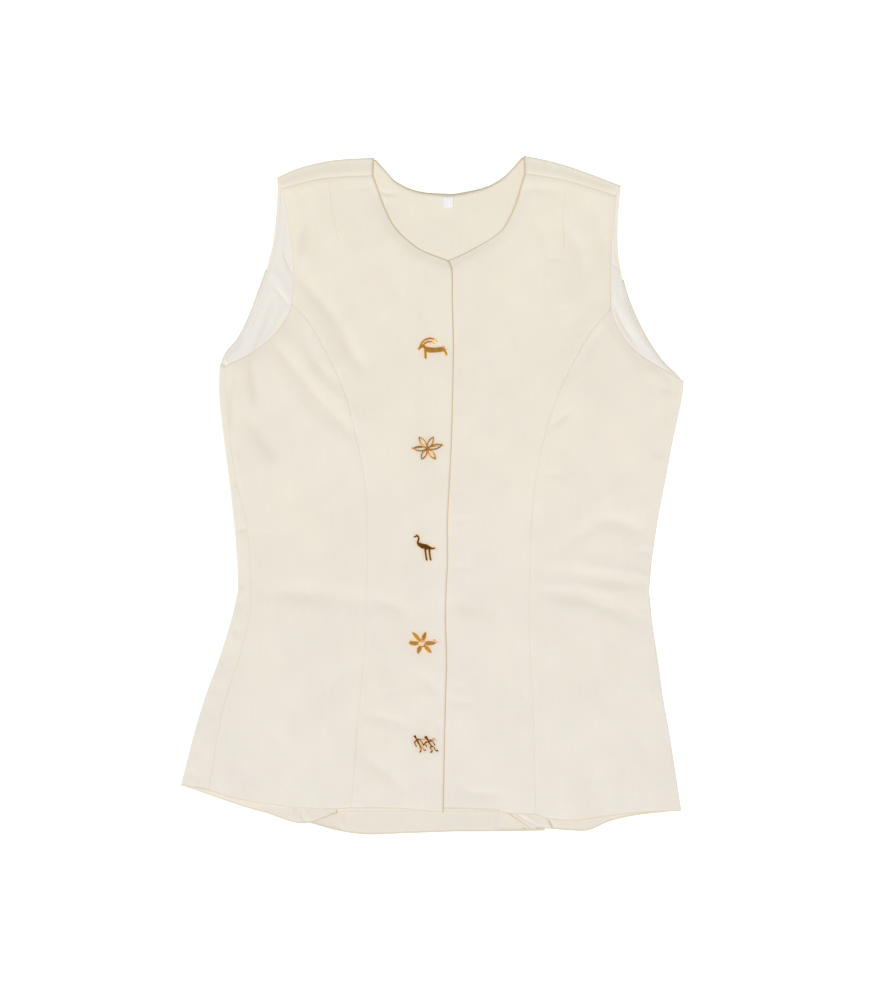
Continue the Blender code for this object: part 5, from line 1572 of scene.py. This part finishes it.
def stitches(path, heights, length, gap, radius, sink=0.35):
    """Tubes of thread, one for each stitch, that dip into the cloth at both ends.

    heights gives the top of the cloth at rows of points."""
    line = spline(path, 24) if len(path) < 20 else np.array(path, dtype=float)
    along = np.concatenate([[0.0], np.cumsum(np.linalg.norm(np.diff(line, axis=0), axis=1))])
    starts = np.arange(gap, along[-1] - length, length + gap)
    cuts = starts[:, None] + np.linspace(0.0, length, 5)[None, :]
    flat = np.dstack([np.interp(cuts, along, line[:, axis]) for axis in (0, 1)])
    arch = np.array([-sink, 0.0, 0.06, 0.0, -sink]) + radius * 0.6
    middle = raise_to(flat, heights(flat) + arch)
    radii = [radius * STITCH_ENDS] + [radius] * 3 + [radius * STITCH_ENDS]
    return [tube(stitch, radii, 6) for stitch in middle]


def laid_thread(line, heights, radius):
    """One thread along a line, at the heights of its points."""
    return tube(np.column_stack([line, heights]), [radius] * len(line), 8)


def add_node(material, kind, inputs=None, **settings):
    """A shader node with its settings, its inputs set or linked."""
    node = material.node_tree.nodes.new(kind)
    for key, value in settings.items():
        setattr(node, key, value)
    for key, value in (inputs or {}).items():
        socket = node.inputs[key]
        if isinstance(value, bpy.types.NodeSocket):
            material.node_tree.links.new(value, socket)
        else:
            socket.default_value = value
    return node


def start_material(name, roughness, metallic=0.0, sheen=0.0):
    """A new material, with the values that are the same all over set on its shader."""
    material = bpy.data.materials.new(name)
    material.use_nodes = True
    shader = material.node_tree.nodes["Principled BSDF"]
    shader.inputs["Roughness"].default_value = roughness
    shader.inputs["Metallic"].default_value = metallic
    shader.inputs["Sheen Weight"].default_value = sheen
    shader.inputs["Sheen Roughness"].default_value = 0.45
    shader.inputs["Specular IOR Level"].default_value = 0.35
    return material, shader


def let_light_through(shader):
    """Lets some light pass through thin cloth, warm as it does in cream wool."""
    shader.inputs["Subsurface Weight"].default_value = 0.3
    shader.inputs["Subsurface Radius"].default_value = (1.0, 0.7, 0.4)
    shader.inputs["Subsurface Scale"].default_value = 0.0016


def stretched(material, place, scale):
    """The place, scaled by its own amount along each axis."""
    node = add_node(material, "ShaderNodeMapping", {"Vector": place, "Scale": scale})
    return node.outputs["Vector"]


def noise(material, place, scale, detail):
    """Noise at the place."""
    inputs = {"Vector": place, "Scale": scale, "Detail": detail}
    return add_node(material, "ShaderNodeTexNoise", inputs).outputs["Fac"]


def threads(material, place, direction, scale, distortion):
    """Slightly uneven threads that lie side by side along one direction."""
    node = add_node(
        material,
        "ShaderNodeTexWave",
        {"Vector": place, "Scale": scale, "Distortion": distortion, "Detail Scale": 40.0},
        wave_type="BANDS",
        bands_direction=direction,
    )
    return node.outputs["Fac"]


def computed(material, operation, *values):
    """What a Math node makes of the values."""
    return add_node(
        material, "ShaderNodeMath", dict(enumerate(values)), operation=operation
    ).outputs[0]


def ranged(material, value, low, high, to_low=0.0, to_high=1.0):
    """The value, moved from one range into another."""
    inputs = {"Value": value, "From Min": low, "From Max": high}
    inputs |= {"To Min": to_low, "To Max": to_high}
    return add_node(material, "ShaderNodeMapRange", inputs).outputs["Result"]


def blended(material, share, first, second, blend_type="MIX"):
    """A colour between the first and the second."""
    node = add_node(
        material,
        "ShaderNodeMix",
        {"Factor": share, "A": first, "B": second},
        data_type="RGBA",
        blend_type=blend_type,
    )
    return node.outputs["Result"]


def marked(material, attribute):
    """What the mesh holds at each point under a name."""
    return add_node(material, "ShaderNodeAttribute", attribute_name=attribute).outputs["Fac"]


def link_surface(material, shader, colour, height, strength, distance):
    """Gives the shader its colour and its relief."""
    inputs = {"Height": height, "Strength": strength, "Distance": distance}
    raised = add_node(material, "ShaderNodeBump", inputs)
    material.node_tree.links.new(colour, shader.inputs["Base Color"])
    material.node_tree.links.new(raised.outputs["Normal"], shader.inputs["Normal"])


def woven(name, colour, shade, tan, roughness, sheen, pitch, bump, slub_turn=1):
    """Woven cloth: crossing threads, slubs along the warp and a soft unevenness of tone.

    slub_turn is 1 where the warp runs along Y and 0 where it runs along X."""
    material, shader = start_material(name, roughness, sheen=sheen)
    let_light_through(shader)
    place = add_node(material, "ShaderNodeTexCoord").outputs["Object"]
    scale = WAVE_PER_PITCH / pitch
    warp = threads(material, place, "X" if slub_turn else "Y", scale, 1.2)
    weft = threads(material, place, "Y" if slub_turn else "X", scale * WEFT_SHARE, 1.6)
    weave = computed(material, "MULTIPLY", warp, weft)
    long_way = SLUBS_ALONG_Y if slub_turn else SLUBS_ALONG_X
    slub = noise(material, stretched(material, place, long_way), 1.0, 4.0)
    grain = noise(material, place, 1400.0, 2.0)
    cloud = noise(material, place, 16.0, 3.0)
    uneven = computed(material, "MULTIPLY_ADD", slub, 0.55, cloud)
    tone = blended(material, ranged(material, uneven, 0.5, 1.05), shade, colour)
    level = add_node(material, "ShaderNodeSeparateXYZ", {"Vector": place}).outputs["Y"]
    wide = noise(material, place, 5.5, 2.0)
    cooling = ranged(material, computed(material, "MULTIPLY_ADD", level, -1.6, wide), 0.1, 0.95)
    tone = blended(material, cooling, tone, COOL_TONE, "MULTIPLY")
    # The painted shade that the mesh holds: its first half mixes in EDGE_SHADE, the rest the tan
    painted_shade_share = marked(material, "tan")
    tone = blended(material, computed(material, "MULTIPLY", painted_shade_share, 2.0), tone, EDGE_SHADE)
    turned = computed(material, "MULTIPLY_ADD", painted_shade_share, 2.0, -1.0)
    tone = blended(material, turned, tone, tan)
    relief = computed(material, "MULTIPLY_ADD", weave, 0.5, grain)
    relief = computed(material, "MULTIPLY_ADD", slub, 0.8, relief)
    link_surface(material, shader, tone, relief, bump, 0.00012)
    return material


def polished_gold(name, colour, worn, roughness, rim):
    """Gilt metal: dulled in patches, with fine marks and an uneven shine, and with painted light and
    shade along its rim.
    """
    material, shader = start_material(name, roughness, metallic=1.0)
    place = add_node(material, "ShaderNodeTexCoord").outputs["Object"]
    patches = noise(material, place, 170.0, 4.0)
    marks = noise(material, stretched(material, place, (2600.0, 500.0, 900.0)), 1.0, 2.0)
    tone = blended(material, ranged(material, patches, 0.38, 0.62), worn, colour)
    # Painted light and shade: the rim's colour along the rim
    tone = blended(material, marked(material, "polish"), tone, rim)
    shine = ranged(material, marks, 0.0, 1.0, roughness - 0.03, roughness + 0.05)
    material.node_tree.links.new(shine, shader.inputs["Roughness"])
    link_surface(material, shader, tone, marks, 0.08, 0.00004)
    return material


def opaque(colour, share=1.0):
    """The colour, or a darker share of it, with nothing seen through it."""
    return (*(part * share for part in colour), 1.0)


def finish(name):
    """A material of this script by its name, made once."""
    if name in bpy.data.materials:
        return bpy.data.materials[name]
    cloth = bpy.context.scene.waistcoat_cloth
    metal = bpy.context.scene.waistcoat_brooches
    tan = opaque(cloth.tan)
    pitch = cloth.thread_pitch
    if name == "cream_twill":
        tones = (opaque(cloth.cream), opaque(cloth.cream, 0.955))
        return woven(name, *tones, tan, 0.72, sheen=0.12, pitch=pitch, bump=0.45)
    if name == "cream_wrong_side":
        tones = (opaque(cloth.inside), opaque(cloth.inside, 0.95))
        return woven(name, *tones, tan, 0.8, sheen=0.08, pitch=pitch, bump=0.4)
    if name == "white_satin_lining":
        tones = (opaque(cloth.lining), opaque(cloth.lining, 0.955))
        return woven(name, *tones, tan, 0.42, sheen=0.2, pitch=0.0004, bump=0.25)
    if name == "white_label_tape":
        tones = (LABEL_WHITE, LABEL_SHADE)
        return woven(name, *tones, tan, 0.55, sheen=0.1, pitch=0.0007, bump=0.6, slub_turn=0)
    if name == "tan_thread":
        return woven(name, opaque(cloth.thread), tan, tan, 0.6, sheen=0.1, pitch=0.0003, bump=0.4)
    if name == "white_thread":
        tones = (THREAD_WHITE, THREAD_SHADE)
        return woven(name, *tones, tan, 0.5, sheen=0.1, pitch=0.0003, bump=0.4)
    gold, worn, dark = opaque(metal.gold), opaque(metal.worn), opaque(metal.dark)
    # Along the rim, the dark and the polished gold take a lighter gold as painted highlight, and the
    # aged gold a darker gold as painted shade
    if name == "dark_gold":
        return polished_gold(name, dark, dark, 0.2, worn)
    if name == "aged_gold":
        aged = opaque(metal.worn, 0.66)
        return polished_gold(name, worn, aged, 0.34, aged)
    return polished_gold(name, gold, worn, 0.3, gold)


def rider(piece, slot, *nodes):
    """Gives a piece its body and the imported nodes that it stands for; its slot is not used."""
    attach(piece, "root")
    if nodes:
        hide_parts(*nodes)
    return piece


# What all colours and all lengths among the settings share
COLOUR = {"subtype": "COLOR", "size": 3, "min": 0.0, "max": 1.0}
LENGTH = {"unit": "LENGTH", "subtype": "DISTANCE"}


class WaistcoatCloth(bpy.types.PropertyGroup):
    """The colours of the cloths, their weave and their creases"""

    cream: bpy.props.FloatVectorProperty(
        name="Cream",
        description="Colour of the outer cloth",
        **COLOUR,
        default=(0.852, 0.812, 0.712),
    )
    inside: bpy.props.FloatVectorProperty(
        name="Inside",
        description="Colour of the cloth's inner side, at the facing and the turned-up hem",
        **COLOUR,
        default=(0.846, 0.806, 0.706),
    )
    lining: bpy.props.FloatVectorProperty(
        name="Lining",
        description="Colour of the lining that the armholes show",
        **COLOUR,
        default=(0.850, 0.826, 0.790),
    )
    # The tan towards which the painted shade along the seams, the turned edges and the folds runs
    tan: bpy.props.FloatVectorProperty(
        name="Painted edge shade",
        description="Colour along the seams and the turned edges",
        **COLOUR,
        default=(0.66, 0.47, 0.22),
    )
    thread: bpy.props.FloatVectorProperty(
        name="Thread",
        description="Colour of the sewing thread",
        **COLOUR,
        default=(0.72, 0.58, 0.38),
    )
    thread_pitch: bpy.props.FloatProperty(
        name="Thread pitch",
        description="Distance from one thread of the weave to the next",
        **LENGTH,
        min=0.0002,
        max=0.002,
        precision=5,
        default=0.00055,
    )
    crease_depth: bpy.props.FloatProperty(
        name="Crease depth",
        description="How deep the creases lie, as a share of the modelled depth",
        subtype="FACTOR",
        min=0.0,
        max=1.5,
        default=1.0,
    )


class WaistcoatSewing(bpy.types.PropertyGroup):
    """The stitches and their thread"""

    stitch_length: bpy.props.FloatProperty(
        name="Stitch length",
        description="Length of one stitch",
        **LENGTH,
        min=0.0005,
        max=0.006,
        precision=4,
        default=0.0018,
    )
    thread_radius: bpy.props.FloatProperty(
        name="Thread radius",
        description="Half the thickness of the sewing thread",
        **LENGTH,
        min=0.00005,
        max=0.001,
        precision=5,
        default=0.00017,
    )


class WaistcoatBrooches(bpy.types.PropertyGroup):
    """The colours of the brooches' gold"""

    gold: bpy.props.FloatVectorProperty(
        name="Gold",
        description="Colour of the polished gold",
        **COLOUR,
        default=(0.87, 0.46, 0.098),
    )
    worn: bpy.props.FloatVectorProperty(
        name="Worn gold",
        description="Colour of the gold where it has dulled",
        **COLOUR,
        default=(0.72, 0.365, 0.075),
    )
    dark: bpy.props.FloatVectorProperty(
        name="Dark gold",
        description="Colour of the darker bird and figures",
        **COLOUR,
        default=(0.235, 0.105, 0.016),
    )


class WaistcoatStage(bpy.types.PropertyGroup):
    """The floor, the camera and the lights"""

    floor_size: bpy.props.FloatProperty(
        name="Floor size",
        description="Width of the pale floor",
        **LENGTH,
        min=1.0,
        max=20.0,
        default=20.0,
    )
    camera_height: bpy.props.FloatProperty(
        name="Camera height",
        description="Height of the camera above the front cloth",
        **LENGTH,
        min=1.0,
        max=10.0,
        default=2.4083,
    )
    key_strength: bpy.props.FloatProperty(
        name="Key light",
        description="Strength of the wide soft light from the wearer's right, below the hem",
        min=0.0,
        max=20.0,
        default=1.82,
    )
    rim_strength: bpy.props.FloatProperty(
        name="Rim light",
        description="Strength of the narrower light from above the left shoulder",
        min=0.0,
        max=20.0,
        default=0.3,
    )
    fill_strength: bpy.props.FloatProperty(
        name="Fill light",
        description="Strength of the broad light from the wearer's left",
        min=0.0,
        max=20.0,
        default=0.8,
    )


class WAISTCOAT_OT_sew_fronts(bpy.types.Operator):
    """Sew the right front, which lies on top, and the left front beneath it"""

    bl_idname = "waistcoat.sew_fronts"
    bl_label = "Sew the Fronts"

    def execute(self, context):
        for panels, rests in ((left_front, "back"), (right_front, "front_left_centre")):
            for node, middle, kinds, turn_row in panels():
                piece = sewn_panel(
                    node, middle, kinds, 1, finish("cream_twill"), turn_row
                )
        return {"FINISHED"}


class WAISTCOAT_OT_sew_back(bpy.types.Operator):
    """Sew the four back panels, which lie beneath and fold over the shoulders and the sides"""

    bl_idname = "waistcoat.sew_back"
    bl_label = "Sew the Back"

    def execute(self, context):
        twill = finish("cream_twill")
        right = (BACK_TOP_RIGHT, ARM_BACK_RIGHT_HIGH, NECK_BACK_RIGHT)
        right += (SHOULDER_FOLD_RIGHT, SHOULDER_SEAM_RIGHT, HEM_BACK_RIGHT)
        left = (BACK_TOP_LEFT, ARM_BACK_LEFT_HIGH, NECK_BACK_LEFT)
        left += (SHOULDER_FOLD_LEFT, SHOULDER_SEAM_LEFT, HEM_BACK_LEFT)
        for side, lines in (("right", right), ("left", left)):
            node, middle, kinds, turn_row = back_centre(side, *lines)
            piece = sewn_panel(
                node, middle, kinds, -1, twill, turn_row, hem_shade=BACK_HEM_SHADE
            )
        for node, (middle, kinds), outer in (
            ("back_side_right", right_side_back(), 1),
            ("back_side_left", left_side_back(), -1),
        ):
            piece = sewn_panel(node, middle, kinds, outer, twill, hem_shade=BACK_HEM_SHADE)
        return {"FINISHED"}


class WAISTCOAT_OT_line_inside(bpy.types.Operator):
    """Lay the neck facing, the two white linings and the turned-up hem on the back's inner side"""

    bl_idname = "waistcoat.line_inside"
    bl_label = "Line the Inside"

    def execute(self, context):
        edges = four_edges("plain", "none", "none", "none")
        hem_edges = four_edges("none", "none", "edge", "plain")
        facing_edges = four_edges("none", "none", "none", "edge")
        facing_look = ("cream_wrong_side", "cream_inside")
        lining_look = ("white_satin_lining", "white_lining")
        right = lining(LINING_RIGHT_OUTER, LINING_RIGHT_INNER)
        left = lining(LINING_LEFT_OUTER, LINING_LEFT_INNER)
        rows = (
            ("back_neck_facing", neck_facing(), facing_edges, 1, *facing_look, "back_centre_right"),
            ("back_lining_right", right, edges, 1, *lining_look, "back_side_right"),
            ("back_lining_left", left, edges, -1, *lining_look, "back_side_left"),
        )
        for row in HEM_TURN_UPS:
            middle = turned_hem(row.knots, row.first, row.last, row.side)
            outer = 1 if row.last > row.first else -1
            beneath = "back_side_" + row.side if row.side else "back_centre_right"
            rows += ((row.name, middle, hem_edges, outer, "cream_twill", "cream_inside", beneath),)
        for node, middle, kinds, outer, surface, slot, beneath in rows:
            # Painted shade in the troughs of the linings' creases
            shade = 0.0
            if surface == "white_satin_lining":
                shade = TROUGH_SHADE * np.clip(-crease_rise(middle, LINING_CREASES), 0.0, 1.0)
            piece = sewn_panel(
                node,
                middle,
                kinds,
                outer,
                finish(surface),
                thickness=THIN_CLOTH,
                hem_shade=TURN_UP_HEM_SHADE,
                shade=shade,
            )
        return {"FINISHED"}


class WAISTCOAT_OT_sew_label(bpy.types.Operator):
    """Sew the bare size label to the neck facing"""

    bl_idname = "waistcoat.sew_label"
    bl_label = "Sew the Label"

    def execute(self, context):
        kinds = four_edges("plain", "plain", "plain", "plain")
        tape = finish("white_label_tape")
        piece = sewn_panel("size_label", label_middle(), kinds, 1, tape, thickness=TAPE)
        return {"FINISHED"}


class WAISTCOAT_OT_stitch(bpy.types.Operator):
    """Lay the threads that show: the darts, the shoulder seams and the edges of the facings"""

    bl_idname = "waistcoat.stitch"
    bl_label = "Stitch"

    def execute(self, context):
        sewing = context.scene.waistcoat_sewing
        length = sewing.stitch_length / MM
        radius = sewing.thread_radius / MM
        inside_top = BACK_Z + ON_BACK + THIN_CLOTH / 2

        def on_right_front(flat):
            """The top of the right front's cloth."""
            return overlap_height(flat) + CLOTH / 2

        def on_left_front(flat):
            """The top of the left front's cloth, and of the back where it folds over."""
            return front_height(flat) + CLOTH / 2

        def on_facing(flat):
            """The top of the neck facing."""
            return inside_top + crease_rise(flat, FACING_CREASES)

        def on_lining(flat):
            """The top of the linings."""
            return inside_top + crease_rise(flat, LINING_CREASES)

        def on_hem(flat):
            """The top of the turned-up hem."""
            rise = crease_rise(flat, HEM_CREASES) + crease_rise(flat, BACK_CREASES)
            return inside_top + HEM_EASE + rise

        def on_label(flat):
            """The top of the label."""
            return np.full(flat.shape[:-1], inside_top + GAP + TAPE)

        # Each row: its line, the cloth under it, the stitch's length, the gap after it, the
        # thread's radius and how deep its ends dip
        hem = stitches(HEM_STITCH_LINE, on_hem, length, 1.1, radius * 2.4, 0.3)
        # A tan line of painted shade beneath the hem's stitches, which shows dark in the gaps
        # between them
        holes_line = spline(HEM_STITCH_LINE, 24)
        hem_gap_shade = [laid_thread(holes_line, on_hem(holes_line) - radius * 0.6, radius)]
        # Tan lines laid along the folds of the hem, where its pleats show dark lines
        worn = []
        for side, path in HEM_FOLD_LINES:
            line = spline(path, 6)
            high = flap_height(line[None], side)[0] + ON_BACK + HEM_EASE + THIN_CLOTH / 2
            high += crease_rise(line, HEM_CREASES)
            worn.append(laid_thread(line, high, FOLD_LINE_RADIUS))
        upper = moved(spline(FACING_UPPER, 16), 0.0, -2.3)
        outer_right = moved(spline(LINING_RIGHT_OUTER), 2.2)
        outer_left = moved(spline(LINING_LEFT_OUTER), -2.2)
        seams = stitches(SHOULDER_SEAM_RIGHT, on_left_front, 0.9, 1.3, radius * 1.3, 0.2)
        seams += stitches(SHOULDER_SEAM_LEFT, on_left_front, 0.9, 1.3, radius * 1.3, 0.2)
        label = stitches(points((-5.9, 627.2), (-2.4, 627.3)), on_label, 1.0, 0.3, radius)
        label += stitches(points((1.2, 627.3), (4.8, 627.2)), on_label, 1.0, 0.3, radius)
        darts = stitches(DART_RIGHT, on_right_front, 1.3, 0.7, radius, 0.25)
        darts += stitches(DART_LEFT, on_left_front, 1.3, 0.7, radius, 0.25)
        lining_rows = stitches(outer_right, on_lining, length, 1.2, radius)
        lining_rows += stitches(outer_left, on_lining, length, 1.2, radius)
        tuck_line = spline(LINING_TUCK, 10)
        tuck = [laid_thread(tuck_line, on_lining(tuck_line) - TUCK_RADIUS / 2, TUCK_RADIUS)]
        facing = stitches(upper, on_facing, length * 0.75, 1.1, radius * 1.2)
        rows = (
            ("dart_threads", darts, "tan_thread", "cream_cloth"),
            ("shoulder_stitches", seams, "tan_thread", "cream_cloth"),
            ("facing_stitches", facing, "tan_thread", "cream_cloth"),
            ("hem_stitches", hem, "white_thread", "cream_cloth"),
            ("hem_stitch_line", hem_gap_shade, "tan_thread", "cream_cloth"),
            ("hem_worn_folds", worn, "tan_thread", "cream_cloth"),
            ("lining_tuck", tuck, "tan_thread", "white_lining"),
            ("lining_stitches", lining_rows, "tan_thread", "white_lining"),
            ("label_stitches", label, "white_thread", "white_lining"),
        )
        for name, made, surface, slot in rows:
            rider(tubes_piece(name, made, finish(surface)), slot)
        return {"FINISHED"}


class WAISTCOAT_OT_pin_brooches(bpy.types.Operator):
    """Pin the five gold brooches down the front opening, each with its pin, hinge and hook"""

    bl_idname = "waistcoat.pin_brooches"
    bl_label = "Pin the Brooches"

    def execute(self, context):
        gold = finish("polished_gold")
        for row in BROOCHES:
            metal = finish(METALS.get(row.name, "polished_gold"))
            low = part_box(row.name)[0].z / MM
            pin_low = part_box(row.name + "_pin")[0].z / MM
            shapes, holes, lines = row.motif()
            front = cast_metal("cast_" + row.name, shapes, holes, lines, row, low, metal)
            rider(front, "gold", row.name)
            rider(brooch_pin(row, pin_low, gold), "gold", row.name + "_pin")
        return {"FINISHED"}


class WAISTCOAT_OT_set_stage(bpy.types.Operator):
    """Set the pale floor, the soft lights and the camera straight above"""

    bl_idname = "waistcoat.set_stage"
    bl_label = "Set the Stage"

    def execute(self, context):
        stage = context.scene.waistcoat_stage
        half = stage.floor_size / 2
        mesh = bpy.data.meshes.new("pale_floor")
        corners = ((-half, -half), (half, -half), (half, half), (-half, half))
        mesh.from_pydata([(x, y, FLOOR_LEVEL) for x, y in corners], [], [(0, 1, 2, 3)])
        floor = bpy.data.objects.new("pale_floor", mesh)
        context.collection.objects.link(floor)
        material, shader = start_material("pale_floor", 0.9)
        place = add_node(material, "ShaderNodeTexCoord").outputs["Object"]
        tone = blended(material, noise(material, place, 3.0, 2.0), *FLOOR_TONES)
        material.node_tree.links.new(tone, shader.inputs["Base Color"])
        shader.inputs["Emission Color"].default_value = (1.0, 1.0, 1.0, 1.0)
        shader.inputs["Emission Strength"].default_value = 0.22
        mesh.materials.append(material)

        world = bpy.data.worlds.new("studio")
        world.use_nodes = True
        surround = world.node_tree.nodes["Background"]
        surround.inputs["Color"].default_value = (1.0, 0.995, 0.985, 1.0)
        surround.inputs["Strength"].default_value = 0.45
        context.scene.world = world

        lamps = (
            ("key_lamp", (-0.62, -0.56, 0.70), 34.0, stage.key_strength),
            ("rim_lamp", (0.62, 0.58, 0.72), 12.0, stage.rim_strength),
            ("fill_lamp", (0.9, -0.35, 0.52), 50.0, stage.fill_strength),
        )
        for name, toward, width, strength in lamps:
            lamp = bpy.data.lights.new(name, "SUN")
            lamp.use_shadow = False
            lamp.angle = math.radians(width)
            lamp.energy = strength
            lamp.color = (1.0, 0.985, 0.965)
            holder = bpy.data.objects.new(name, lamp)
            holder.location = Vector(toward) * LAMP_DISTANCE
            holder.rotation_euler = Vector(toward).to_track_quat("Z", "Y").to_euler()
            context.collection.objects.link(holder)

        lens = bpy.data.cameras.new("overhead_camera")
        lens.sensor_fit = "VERTICAL"
        lens.sensor_height = 36.0
        lens.lens = 85.0
        camera = bpy.data.objects.new("overhead_camera", lens)
        middle = placed((PICTURE_MIDDLE[0], PICTURE_MIDDLE[1], FRONT_Z))
        camera.location = (middle[0], middle[1], middle[2] + stage.camera_height)
        context.collection.objects.link(camera)
        context.scene.camera = camera
        context.scene.view_settings.view_transform = "Standard"
        return {"FINISHED"}


class WAISTCOAT_PT_panel(bpy.types.Panel):
    """The waistcoat's sizes and colours, and the steps that make it"""

    bl_idname = "WAISTCOAT_PT_panel"
    bl_label = "Waistcoat"
    bl_space_type = "VIEW_3D"
    bl_region_type = "UI"
    bl_category = "Waistcoat"

    def draw(self, context):
        for group in GROUPS:
            box = self.layout.box()
            settings = getattr(context.scene, group)
            for name in settings.bl_rna.properties.keys():
                if name not in ("name", "rna_type"):
                    box.prop(settings, name)
        for step in STEPS:
            self.layout.operator(step)


GROUPS = {
    "waistcoat_cloth": WaistcoatCloth,
    "waistcoat_sewing": WaistcoatSewing,
    "waistcoat_brooches": WaistcoatBrooches,
    "waistcoat_stage": WaistcoatStage,
}
OPERATORS = (
    WAISTCOAT_OT_set_stage,
    WAISTCOAT_OT_sew_back,
    WAISTCOAT_OT_line_inside,
    WAISTCOAT_OT_sew_label,
    WAISTCOAT_OT_sew_fronts,
    WAISTCOAT_OT_stitch,
    WAISTCOAT_OT_pin_brooches,
)
STEPS = tuple(operator.bl_idname for operator in OPERATORS)
CLASSES = tuple(GROUPS.values()) + OPERATORS + (WAISTCOAT_PT_panel,)


def register():
    """Registers the settings, the steps and the panel."""
    for made in CLASSES:
        bpy.utils.register_class(made)
    for name, group in GROUPS.items():
        setattr(bpy.types.Scene, name, bpy.props.PointerProperty(type=group))


def unregister():
    """Takes them all away again."""
    for name in GROUPS:
        delattr(bpy.types.Scene, name)
    for made in reversed(CLASSES):
        bpy.utils.unregister_class(made)


def main():
    """Dresses the waistcoat step by step."""
    register()
    for step in STEPS:
        group, name = step.split(".")
        getattr(getattr(bpy.ops, group), name)()


if __name__ == "__main__":
    main()
